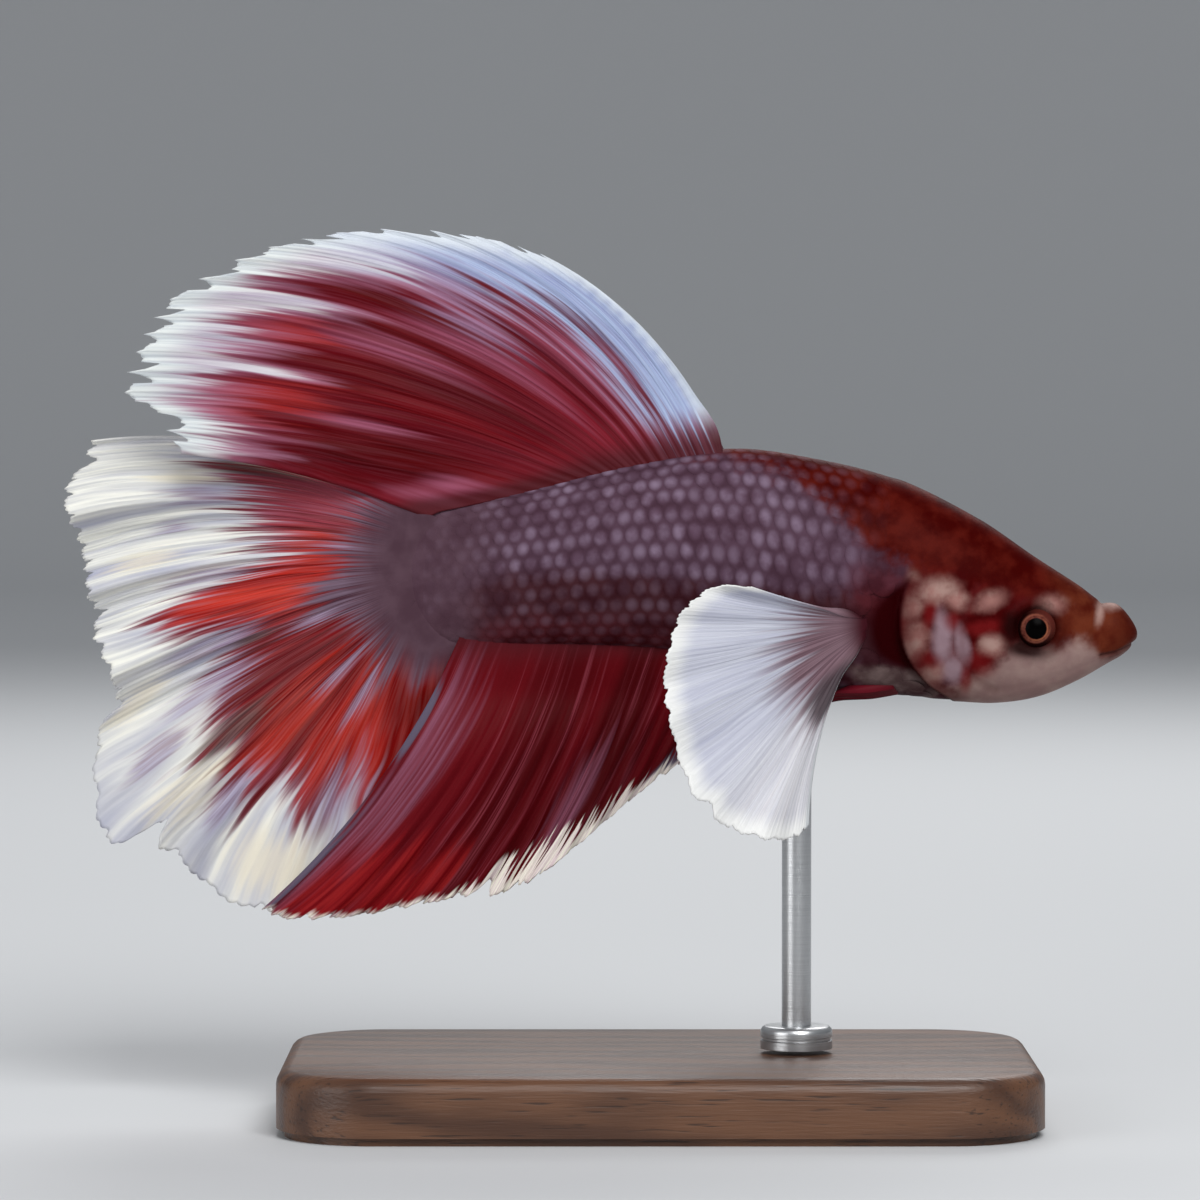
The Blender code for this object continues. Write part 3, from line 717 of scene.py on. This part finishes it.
def ray_places(fan, share, reach):
    """Places on the fan in millimetres, how far along their rays they are, and how long the web is there."""
    launch, bend = (np.radians(smooth_value(fan["rays"], share, column)) for column in (1, 2))
    length = smooth_value(fan["rays"], share, 3)
    whole = np.maximum(length - edge_setback(share, fan), 0.5 * length)
    distance = whole * reach
    bend = np.where(np.abs(bend) < 1e-4, 1e-4, bend)
    curve = length / bend
    turned = launch + distance / curve
    root = fan["root"](share)
    rooted = fan["rooting"] * (1 - rise(distance, 0, 2.4))
    ahead = curve * (np.sin(turned) - np.sin(launch)) - rooted * np.cos(launch)
    over = curve * (np.cos(launch) - np.cos(turned)) - rooted * np.sin(launch)
    pleat = fan["pleat"] * np.sin(2 * math.pi * share * fan["teeth"]) * rise(reach, 0.05, 0.5)
    sideways = fan["sideways"](share, distance / length) + pleat
    return np.stack((root[0] + ahead, root[1] + sideways, root[2] + over), axis=1), distance, whole


def fin_sheet(name, finish, slot, node, **fan):
    """A fin as a sheet over its rays: fleshy at the root, thick along each ray and thin between them."""
    fan = {**USUAL_FIN, **fan}
    sheet = bmesh.new()
    bmesh.ops.create_grid(sheet, x_segments=fan["across"], y_segments=fan["along"], size=1)
    mesh = finished_mesh(name, sheet)
    grid = vertex_places(mesh)
    share, reach = (grid[:, 0] + 1) / 2, (grid[:, 1] + 1) / 2
    places, distance, whole = ray_places(fan, share, reach)
    move_vertices(mesh, places * MM)
    ray = branching(share, reach, fan["teeth"], *fan["forks"])
    set_fields(mesh, {"edge": whole - distance, "inward": distance, "ray": ray})
    set_fields(mesh, {key: smooth_value(table, share) for key, table in fan["fields"].items()})
    set_fields(mesh, {key: spots(share, reach, table) for key, table in fan["patches"].items()})
    if fan["banded"]:
        set_fields(mesh, {"in_front": front_distance(fan, places)})
    lay_map(mesh, "rays", share, reach)
    piece = to_object(name, mesh, finish)
    thickness = piece.vertex_groups.new(name="thickness")
    flesh = hump(np.maximum(distance - 1, 0), fan["flesh"]) * rise(whole, 1, 5)
    bone = RAY_WEIGHT * ray * rise(distance, 1, 6) * (1 - 0.75 * reach)
    for index, weight in enumerate(np.clip(bone + flesh, 0, 1)):
        thickness.add([index], float(weight), "REPLACE")
    wall = piece.modifiers.new("wall", "SOLIDIFY")
    wall.thickness = fan["thickness"] * MM
    wall.offset = 0
    wall.vertex_group = "thickness"
    wall.thickness_vertex_group = fan["thin"]
    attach(piece, "root")
    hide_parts(node)


def front_distance(fan, places):
    """How far places on a fan are from its front outline, seen from the side."""
    count = 90
    tips = np.linspace(0, FRONT_SHARE, count)
    along = np.linspace(0, 1, count)
    outline = np.concatenate((ray_places(fan, 0 * along, along)[0], ray_places(fan, tips, 0 * tips + 1)[0]))
    gaps = [np.hypot(places[:, 0] - x, places[:, 2] - z) for x, _, z in outline]
    return np.min(gaps, axis=0)


def streaks(share, reach, across, along, seed, low=0.34, high=0.66):
    """Long soft streaks that follow the rays, from 0 to 1."""
    where = share.node("CombineXYZ", None, {0: share * across, 1: reach * along, 2: seed})
    return where.noise(1.0, 2.0, Roughness=0.45).step(low, high)


def fin_canvas(name, seed, *weave):
    """A fin's finish, how far across and along its wandering rays each place is, and its streaks."""
    finish, blank, shader = new_finish(name, Specular_IOR_Level=0.05)
    where = blank.node("UVMap", {"uv_map": "rays"})
    share, reach = where.part(0), where.part(1)
    wander = blank.node("CombineXYZ", None, {0: share * 9, 1: reach * 2.5}).noise(1.0, 1.0) - 0.5
    share = share + wander * reach.step(0, 0.6) * 0.03
    return finish, blank, shader, share, reach, *(
        streaks(share, reach, across, along, seed + n) for n, (across, along) in enumerate(weave))


def silk(blank, shader, colour, share, reach, teeth, depth=0.16):
    """Joins a fin's colour to its shader, with the fine lines of its rays as relief."""
    fine = streaks(share, reach, teeth * LINES_PER_RAY, 3, LINE_SEED)
    height = (blank.field("ray") * 0.6 + fine * 0.5) * blank.field("inward").step(1, 5)
    connect(shader, Base_Color=colour, Roughness=fine * 0.12 + 0.42, Normal=height.bump(depth))


def above_back(share):
    back = smooth_value(DORSAL_ROOT, share)
    return SNOUT_X / MM - back, sway(back), AXIS_HEIGHT / MM + section(back)[0]


def dorsal_side(share, reach):
    wave = 0.35 * np.sin(9 * share + 1) + 0.2 * np.sin(23 * share)
    return wave * reach**1.5 - 1.1 * rise(share * 1.2, 0, 1) * rise(1.6 * reach, 0, 1)


FRONT_SHARE, BAND_WIDTH = 0.33, 2.9

dorsal_finish, blank, shader, share, reach, broad, middling, narrow, threads = fin_canvas(
    "dorsal_silk", 1, (11, 1.2), (34, 1.7), (90, 2.2), (260, 4))
pale = layered(
    narrow.over((172, 160, 172), (208, 204, 206)),
    (broad * middling * 0.7, (138, 126, 154)),
    (blank.field("edge").step(3.4, 0.6), narrow.over((184, 190, 194), (214, 218, 216))),
)
lilac = layered(
    (broad * 0.5 + middling * 0.5).over((124, 134, 174), (152, 168, 200)),
    (narrow * 0.5, (124, 122, 160)),
    (threads * 0.4, (178, 190, 212)),
    (blank.field("in_front").step(0.9, 0.1), (186, 194, 206)),
    (reach.step(0.7, 1.0) * 0.8, (206, 212, 218)),
)
ragged = blank.field("trim") + middling.about(2.4) + narrow.about(2.2) - blank.field("edge")
fringe = ragged.maths("MAXIMUM", 0.7 - blank.field("edge") + narrow.about(0.8))
inside = BAND_WIDTH + middling.about(2.6) + narrow.about(0.9) - blank.field("in_front")
banded = inside.step(-1.6, 1.2) * share.step(0.52, 0.3)
bases = (blank.field("inward") * 0.4 + blank.field("ray") - 0.9).step(-0.4, 0.3)
colour = layered(
    middling.over((82, 0, 10), (112, 20, 34)),
    (blank.marking("deep", middling.about(0.9), -0.5, 0.6), broad.over((68, 0, 2), (98, 0, 6))),
    (narrow * 0.3, (78, 2, 12)),
    (blank.marking("rose", middling.about(0.9), -0.5, 0.9) * (0.35 + 0.5 * narrow), (148, 80, 104)),
    (blank.marking("haze", narrow.about(0.8), -0.4, 0.9) * 0.7, (150, 118, 148)),
    (blank.marking("warm", narrow.about(0.9), -0.4, 0.7) * 0.8, (148, 34, 32)),
    (threads * 0.06, (170, 100, 118)),
    ((ragged + 2.6).step(-2.8, 2.4) * 0.7, middling.over((134, 72, 94), (160, 112, 136))),
    (fringe.step(-1.8, 1.8), pale),
    (banded * (0.15 + 0.85 * bases), lilac),
    (blank.field("inward").step(2.0, 0.8) * 0.85, middling.over((64, 14, 18), (80, 36, 42))),
)
silk(blank, shader, colour, share, reach, 20)
fin_sheet("dorsal_silk", dorsal_finish, "red_fin", "dorsal_fin", rays=DORSAL_RAYS, root=above_back,
          sideways=dorsal_side, teeth=20, tooth_depth=1.7, spiky=1, splits=DORSAL_SPLITS, across=400,
          pleat=0.06, forks=(0.25, 0.6), banded=True, fields={"trim": DORSAL_TRIM},
          patches=DORSAL_PATCHES)


# The caudal fin is the tail: the same web and rays, spread in a half circle from the end of the body
# and hung in loose folds. It is mauve at its root, then orange red, with a deep cream border.
CAUDAL_RAYS = ((0, 150, 38, 21.1), (0.12, 157, 36, 21.3), (0.25, 167, 30, 19.8), (0.37, 176, 23, 19.1),
               (0.5, 185, 16, 18.8), (0.59, 195, 11, 18.3), (0.67, 203, 8, 20.7), (0.75, 213, 12, 23.1),
               (0.82, 223, 7, 20.6), (0.88, 235, 5, 20.5), (0.94, 248, 5, 18.5), (1, 264, 4, 13.5))
CAUDAL_ROOT = ((0, 106), (0.12, 132), (0.5, 179), (0.85, 221), (0.94, 244), (1, 300))
BELLY_RUN = 0.06
CAUDAL_SPLITS = ((0.06, 1.0, 0.02), (0.44, 0.6, 0.02), (0.625, 0.8, 0.014), (0.785, 2.2, 0.014))
CAUDAL_TRIM = ((0, 8.5), (0.05, 8), (0.1, 8.5), (0.15, 9.6), (0.25, 10), (0.31, 11), (0.36, 11), (0.41, 10),
               (0.45, 8), (0.49, 3.8), (0.53, 3.4), (0.57, 6.5), (0.65, 8), (0.7, 9.4), (0.75, 8.4), (0.8, 5),
               (0.84, 5), (0.875, 7.4), (0.9, 5.6), (0.92, 7.8), (0.95, 6), (1, 6))
CAUDAL_STALK = ((0, 2.4), (0.15, 2.6), (0.3, 2.6), (0.42, 3), (0.5, 3.6), (0.58, 4.4), (0.7, 3), (0.85, 2.2),
                (1, 1.8))
CAUDAL_PATCHES = {
    "rose": ((0.15, 0.24, 0.13, 0.26), (0.22, 0.38, 0.06, 0.16), (0.84, 0.6, 0.02, 0.1)),
    "hot": ((0.39, 0.26, 0.12, 0.22), (0.49, 0.5, 0.045, 0.3), (0.46, 0.3, 0.09, 0.26),
            (0.8, 0.4, 0.06, 0.26), (0.88, 0.3, 0.08, 0.26), (0.96, 0.32, 0.06, 0.4)),
    "lilac": ((0.57, 0.15, 0.025, 0.1), (0.17, 0.6, 0.03, 0.1), (0.25, 0.7, 0.02, 0.07),
              (0.42, 0.6, 0.03, 0.14), (0.6, 0.62, 0.035, 0.16), (0.68, 0.6, 0.035, 0.14),
              (0.93, 0.62, 0.025, 0.16), (0.72, 0.78, 0.02, 0.1), (0.83, 0.78, 0.015, 0.1),
              (0.64, 0.18, 0.02, 0.16), (0.82, 0.2, 0.015, 0.14), (0.9, 0.22, 0.012, 0.12),
              (0.35, 0.1, 0.02, 0.12)),
    "smoke": ((0.08, 0.48, 0.025, 0.16), (0.76, 0.55, 0.022, 0.14), (0.62, 0.5, 0.015, 0.1)),
    "cream": ((0.06, 0.38, 0.014, 0.16), (0.12, 0.66, 0.02, 0.12), (0.785, 0.82, 0.03, 0.14),
              (0.33, 0.8, 0.03, 0.14), (0.64, 0.9, 0.03, 0.1), (0.9, 0.85, 0.04, 0.12)),
}


def round_tail_end(share):
    """The root runs round the end of the body, and from 270 degrees on forward along the belly."""
    angle = smooth_value(CAUDAL_ROOT, share)
    forward = np.maximum(angle - 270, 0) * BELLY_RUN
    angle = np.radians(np.minimum(angle, 270))
    middle_back = BODY_LENGTH - TAIL_ROUNDING
    top, bottom, _ = section(middle_back)
    return (
        SNOUT_X / MM - middle_back + forward + TAIL_ROUNDING * np.cos(angle),
        TAIL_SWAY,
        AXIS_HEIGHT / MM + (top + bottom) / 2 + (top - bottom) / 2 * np.sin(angle),
    )


def caudal_side(share, reach):
    folds = 0.85 * np.sin(31 * share) + 0.5 * np.sin(17 * share + 2)
    frill = (0.2 * np.sin(95 * share + 1) + 0.16 * np.sin(61 * share)) * reach**3
    lean = 0.9 * rise(reach, 0.08, 0.35) + 2.1 * np.maximum(reach - 0.06, 0)
    return lean + folds * rise(reach * 1.3, 0, 1) * reach + frill


caudal_finish, blank, shader, share, reach, broad, middling, narrow, threads = fin_canvas(
    "caudal_silk", 11, (16, 1.1), (44, 1.5), (130, 2.2), (340, 3.5))
flame = layered(
    middling.over((136, 8, 8), (182, 42, 28)),
    (share.step(0.6, 0.75) * 0.7, middling.over((96, 2, 6), (150, 28, 22))),
    (broad * narrow * 0.35, (186, 74, 60)),
    (streaks(share, reach, 60, 1.2, 15, 0.56, 0.7) * 0.55, (98, 4, 8)),
)
pale = (middling * broad * 0.9).over(narrow.over((200, 200, 198), (228, 227, 218)), (152, 154, 176))
ragged = blank.field("trim") + middling.about(2.6) + narrow.about(2.4) - blank.field("edge")
fringe = ragged.maths("MAXIMUM", 1.4 - blank.field("edge") + narrow.about(1.4))
mauve = blank.field("stalk") + middling.about(2.6) + narrow.about(1.4) - blank.field("inward")
cloudy = blank.node("TexCoord", None, None, 3).noise(700, 4)
colour = layered(
    middling.over((86, 2, 8), (128, 14, 20)),
    (narrow * 0.15, (142, 66, 76)),
    (blank.marking("rose", middling.about(0.9), -0.4, 0.6) * (0.5 + 0.4 * narrow), (148, 66, 84)),
    (blank.marking("hot", middling.about(0.7), -0.4, 0.35), flame),
    (threads * 0.12, (190, 130, 130)),
    ((ragged + 1.4).step(-2.2, 2.2) * 0.6, narrow.over((122, 78, 92), (166, 140, 160))),
    (fringe.step(-1.6, 1.6), pale),
    (blank.marking("lilac", narrow.about(0.9), -0.4, 0.8) * 0.75,
     threads.over((128, 104, 126), (158, 150, 176))),
    (blank.marking("smoke", narrow.about(0.9), -0.3, 0.8) * 0.85,
     threads.over((70, 48, 48), (110, 84, 82))),
    (blank.marking("cream", narrow.about(0.5), -0.3, 0.7) * 0.6, (222, 212, 188)),
    (mauve.step(-1.6, 1.6), narrow.over((66, 38, 50), (112, 92, 108))),
    (blank.field("inward").step(2.7, 1.3), cloudy.step(0.3, 0.7).over(*STALK_TINTS)),
)
silk(blank, shader, colour, share, reach, 26)
fin_sheet("caudal_silk", caudal_finish, "red_fin", "caudal_fin", rays=CAUDAL_RAYS, root=round_tail_end,
          sideways=caudal_side, teeth=26, tooth_depth=0.7, twig_depth=0.2, spiky=0.1,
          splits=CAUDAL_SPLITS, across=440, pleat=0.08, thickness=1.5, thin=0.07, flesh=2.8, rooting=3.2,
          forks=(0.12, 0.5), fields={"trim": CAUDAL_TRIM, "stalk": CAUDAL_STALK}, patches=CAUDAL_PATCHES)


# The anal fin hangs from the belly all the way to the tail: wine red, with rose rays, a smoky lilac
# rear edge and a narrow cream hem.
ANAL_RAYS = ((0, 238, -10, 3.6), (0.1, 245, -8, 6.3), (0.2, 249, -9, 8.7), (0.3, 251, -12, 12.3),
             (0.4, 252, -15, 15.5), (0.5, 254, -17, 16.7), (0.6, 254, -22, 17.3), (0.75, 252, -29, 19.5),
             (0.9, 249, -32, 20.9), (1, 246, -25, 20.1))
ANAL_START, ANAL_LENGTH = 22.4, 19.2
ANAL_SPLITS = ((0.47, 0.8, 0.012), (0.55, 1.0, 0.014))
ANAL_TRIM = ((0, 0.2), (0.15, 0.4), (0.28, 1.2), (0.4, 1.5), (0.5, 1.6), (0.6, 0.35), (0.8, 0.1), (1, 0))
ANAL_FRAY = ((0, 0.3), (0.2, 1.0), (0.35, 2.6), (0.5, 3.0), (0.6, 0.8), (0.8, 0.5), (1, 0.2))
ANAL_PATCHES = {
    "purple": ((0.92, 0.42, 0.07, 0.34), (0.44, 0.66, 0.05, 0.3), (0.97, 0.7, 0.03, 0.4)),
    "glow": ((0.84, 0.86, 0.14, 0.2), (0.72, 0.9, 0.1, 0.14)),
    "slate": ((1.0, 0.26, 0.025, 0.12), (1.0, 0.8, 0.025, 0.25), (0.17, 1.0, 0.08, 0.2)),
}


def below_belly(share):
    back = ANAL_START + ANAL_LENGTH * share
    return SNOUT_X / MM - back, sway(back), AXIS_HEIGHT / MM + section(back)[1]


def anal_side(share, reach):
    wave = 0.4 * np.sin(14 * share) + 0.25 * np.sin(27 * share + 1)
    return wave * reach**1.5 - 1.5 * rise(share * 1.1, 0, 1) * rise(2.5 * reach, 0, 1)


anal_finish, blank, shader, share, reach, broad, middling, narrow, threads = fin_canvas(
    "anal_silk", 21, (9, 0.9), (28, 1.2), (100, 1.6), (260, 2.5))
hem = blank.field("trim") + blank.field("fray") * (narrow - 0.3) - blank.field("edge")
colour = layered(
    broad.over((62, 0, 4), (82, 2, 10)),
    (share.step(0.55, 0.85) * 0.5, (102, 10, 20)),
    (streaks(share, reach, 44, 0.9, 25, 0.5, 0.68) * threads * 0.42, (142, 62, 76)),
    (blank.marking("glow", middling.about(0.8), -0.3, 0.6) * 0.85,
     narrow.over((108, 4, 12), (134, 24, 26))),
    (blank.marking("purple", middling.about(0.8), -0.3, 0.6) * (0.35 + 0.65 * narrow) * 0.8,
     (128, 76, 96)),
    (blank.marking("slate", narrow.about(0.6), -0.2, 0.5) * 0.8, (82, 84, 102)),
    (hem.step(-0.4, 0.4), threads.over((226, 222, 206), (204, 186, 188))),
    (reach.step(0.1, 0.0) * 0.8, (62, 20, 26)),
)
silk(blank, shader, colour, share, reach, 19)
fin_sheet("anal_silk", anal_finish, "red_fin", "anal_fin", rays=ANAL_RAYS, root=below_belly,
          sideways=anal_side, teeth=19, tooth_depth=0.6, spiky=0.4, splits=ANAL_SPLITS, across=360,
          along=72, pleat=0.1, fields={"trim": ANAL_TRIM, "fray": ANAL_FRAY}, patches=ANAL_PATCHES)


# The pectoral fins are the dumbo's broad white fans, one behind each gill cover, on close fine rays that
# fork twice. They are mauve at the root.
PECTORAL_RAYS = ((0, 168, -9, 7), (0.08, 169, -6, 9), (0.16, 173, -4, 10.3), (0.25, 179, -3, 11.2),
                 (0.45, 197, -1, 12.5), (0.55, 208.5, -2, 12.9), (0.65, 222, 0, 13.8), (0.73, 231, 4, 13.8),
                 (0.8, 236, 10, 13.3), (0.87, 238, 17, 12.8), (0.93, 238.5, 24, 12.3), (1, 237.5, 31, 11.4))
PECTORAL_BACK, PECTORAL_DOWN, PECTORAL_SPREAD, PECTORAL_BEDDED = 17.1, 2.4, 1.5, 0.75
OUTWARD = ((0, 6.5), (0.25, 8.8), (0.6, 9.8), (0.8, 8.6), (0.92, 7.2), (1, 5.6))

pectoral_finish, blank, shader, share, reach, broad, middling, narrow, threads = fin_canvas(
    "pectoral_silk", 41, (8, 1.0), (40, 1.2), (130, 1.6), (380, 2.4))
mauve = blank.field("stalk") + middling.about(2.0) - blank.field("inward")
colour = layered(
    broad.over((176, 178, 194), (196, 198, 210)),
    (share.step(0.6, 0.8), broad.over((186, 184, 188), (208, 206, 208))),
    (narrow * 0.45, (208, 210, 216)),
    (threads * 0.3, (150, 150, 172)),
    (blank.field("edge").step(1.6, 0.2), (222, 222, 220)),
    (mauve.step(-2.4, 1.4) * 0.94, narrow.over((90, 60, 68), (122, 92, 101))),
    (blank.marking("clear", narrow.about(0.3), -0.35, 0.35) * 0.9,
     middling.over((50, 38, 44), (82, 74, 78))),
    (share.step(0.965, 0.985), (200, 204, 206)),
    (blank.field("inward").step(1.8, 0.3), (62, 20, 28)),
)
silk(blank, shader, colour, share, reach, 17, 0.25)


def pectoral(side):
    """Where one pectoral fin starts, and how far out it reaches."""

    def root(share):
        out = section(np.array(PECTORAL_BACK))[2] - PECTORAL_BEDDED
        down = PECTORAL_DOWN + PECTORAL_SPREAD * share
        return SNOUT_X / MM - PECTORAL_BACK, out * side, AXIS_HEIGHT / MM - down

    def sideways(share, reach):
        out = (smooth_value(OUTWARD, share) + PECTORAL_BEDDED) * (1.3 * reach - 0.3 * reach**2)
        return (out + 0.25 * np.sin(40 * share) * reach**2) * side

    return {"root": root, "sideways": sideways}


for label, side in (("left", 1), ("right", -1)):
    fin_sheet(f"pectoral_silk_{label}", pectoral_finish, "pectoral_fin", f"pectoral_fin_{label}",
              **pectoral(side), rays=PECTORAL_RAYS, teeth=17, tooth_depth=0.3, twig_depth=0.1, spiky=0.3,
              splits=((0.685, 0.5, 0.012),), across=272, along=72, pleat=0.02, thickness=0.6, thin=0.15,
              flesh=0.9, rooting=0.4, forks=(0.05, 0.4),
              fields={"stalk": ((0, 2.6), (0.2, 3.6), (0.45, 4.4), (0.65, 5.0), (0.8, 5.0), (1, 3.4))},
              patches={"clear": ((0.83, 0.3, 0.12, 0.15), (0.94, 0.24, 0.08, 0.12))})


# The pelvic fins are two narrow dark red blades under the breast, held back along the belly.
PELVIC_RAYS = ((0, 190, 14, 9), (0.5, 189, 14, 11.2), (1, 188, 13, 12.7))
PELVIC_BACK, PELVIC_OUT, PELVIC_BEDDED = 15.6, 0.9, 0.35

pelvic_finish, blank, shader, share, reach, middling, narrow = fin_canvas(
    "pelvic_silk", 51, (10, 2.0), (24, 3.0))
colour = (reach.step(0.7, 1.0) * narrow * 0.8).over(
    middling.over((50, 4, 10), (92, 16, 28)), (196, 176, 176))
silk(blank, shader, colour, share, reach, 3)


def pelvic(side):
    """Where one pelvic fin starts, and how far out it reaches."""

    def root(share):
        back = PELVIC_BACK + 0.3 * share
        return (
            SNOUT_X / MM - back,
            (PELVIC_OUT + 0.7 * share) * side,
            AXIS_HEIGHT / MM + section(back)[1] + PELVIC_BEDDED + 0.4 * share,
        )

    def sideways(share, reach):
        return (1 + 0.6 * share) * reach * side

    return {"root": root, "sideways": sideways}


for label, side in (("left", 1), ("right", -1)):
    fin_sheet(f"pelvic_silk_{label}", pelvic_finish, "red_fin", f"pelvic_fin_{label}", **pelvic(side),
              rays=PELVIC_RAYS, teeth=3, tooth_depth=0.5, twig_depth=0.1, spiky=1, splits=(), across=48,
              along=80, pleat=0.05, thickness=0.9, thin=0.12, flesh=1.2, rooting=0.9)


# The stand's base is a plate of oiled walnut with rounded corners. Its upper edge is rounded over, and
# a narrow shadow line is cut round its foot.
CORNER_RADIUS, EDGE_ROUND, FOOT_INSET, FOOT_HEIGHT = 6 * MM, 0.9 * MM, 0.5 * MM, 0.5 * MM

wood, blank, shader = new_finish("oiled_walnut", Specular_IOR_Level=0.45)
place = blank.node("TexCoord", None, None, 3)
figure = place.stretched(30, 150, 150).noise(1.0, 4.0)
growth = place.part(1) * 1900 + place.part(2) * 1100
bands = ((growth + figure * 24).maths("SINE") * 0.5 + 0.5) * 0.7 + figure * 0.3
pores = place.stretched(300, 5200, 5200).noise(1.0, 2.0)
colour = (pores.step(0.42, 0.3) * 0.7).over(bands.over((62, 38, 26), (100, 66, 44)), (34, 20, 14))
connect(shader, Base_Color=colour, Roughness=bands * 0.1 + 0.36, Normal=pores.bump(0.4))

low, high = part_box("stand_base")
plate = bmesh.new()
bmesh.ops.create_cube(plate, size=1)
size = high - low
bmesh.ops.scale(plate, verts=plate.verts, vec=(size.x, size.y, size.z - FOOT_HEIGHT))
bmesh.ops.translate(plate, verts=plate.verts, vec=(low + high) / 2 + Vector((0, 0, FOOT_HEIGHT / 2)))
upright = [e for e in plate.edges if abs(e.verts[0].co.z - e.verts[1].co.z) > size.z / 2]
bmesh.ops.bevel(plate, geom=upright, affect="EDGES", offset=CORNER_RADIUS, segments=16, profile=0.5,
                material=-1)
rims = [e for e in plate.edges if min(v.co.z for v in e.verts) > low.z + 0.9 * size.z]
bmesh.ops.bevel(plate, geom=rims, affect="EDGES", offset=EDGE_ROUND, segments=5, profile=0.5, material=-1)
under = [f for f in plate.faces if f.normal.z < -0.9]
bmesh.ops.inset_region(plate, faces=under, thickness=FOOT_INSET)
grown = bmesh.ops.extrude_face_region(plate, geom=under)
bmesh.ops.delete(plate, geom=[f for f in under if f.is_valid], context="FACES")
bmesh.ops.translate(plate, verts=[v for v in grown["geom"] if isinstance(v, bmesh.types.BMVert)],
                    vec=(0, 0, -FOOT_HEIGHT))
bmesh.ops.recalc_face_normals(plate, faces=plate.faces)
base_mesh = finished_mesh("stand_plate", plate)
stand_plate = to_object("stand_plate", base_mesh, wood)
base_mesh.set_sharp_from_angle(angle=math.radians(35))
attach(stand_plate, "root")
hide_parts("stand_base")


# The collar and the rod are turned from one steel bar: the collar screws down on the plate, and the
# rod ends in a small rounded tip under the belly. Fine tool marks run round them.
COLLAR_GROOVE = ((0.5, 0), (0.56, 0.12), (0.68, 0.12), (0.74, 0))
COLLAR_ROUND, ROD_BEDDED, ROD_TIP = 0.4 * MM, 0.3 * MM, 0.35 * MM

steel, blank, shader = new_finish("brushed_steel", Metallic=1.0)
place = blank.node("TexCoord", None, None, 3)
turning = place.stretched(300, 300, 22000).noise(1.0, 2.0)
connect(shader, Base_Color=turning.over((176, 178, 180), (206, 207, 208)),
        Roughness=turning * 0.15 + 0.24, Normal=turning.bump(0.25, 0.00005))


def turned_piece(name, profile, centre, node):
    """A piece turned on a lathe: (radius, height) pairs from the foot to the top."""
    bar = turned_form(profile, steps=64)
    bmesh.ops.translate(bar, verts=bar.verts, vec=(centre.x, centre.y, 0))
    mesh = finished_mesh(name, bar)
    piece = to_object(name, mesh, steel)
    mesh.set_sharp_from_angle(angle=math.radians(40))
    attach(piece, "root")
    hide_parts(node)


low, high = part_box("stand_collar")
radius, foot, top = (high.x - low.x) / 2, low.z, high.z
rounding = [math.radians(angle) for angle in range(0, 91, 15)]
turned_piece("steel_collar", [(0, foot), (radius, foot)] + [
    (radius - deep * MM, foot + up * MM) for up, deep in COLLAR_GROOVE
] + [
    (radius - COLLAR_ROUND * (1 - math.cos(a)), top - COLLAR_ROUND * (1 - math.sin(a))) for a in rounding
] + [(0, top)], (low + high) / 2, "stand_collar")
low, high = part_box("stand_rod")
radius, foot, top = (high.x - low.x) / 2, low.z, high.z
turned_piece("steel_rod", [(0, foot - ROD_BEDDED), (radius, foot - ROD_BEDDED)] + [
    (radius * math.cos(a), top + ROD_TIP - radius * (1 - math.sin(a))) for a in rounding
], (low + high) / 2, "stand_rod")
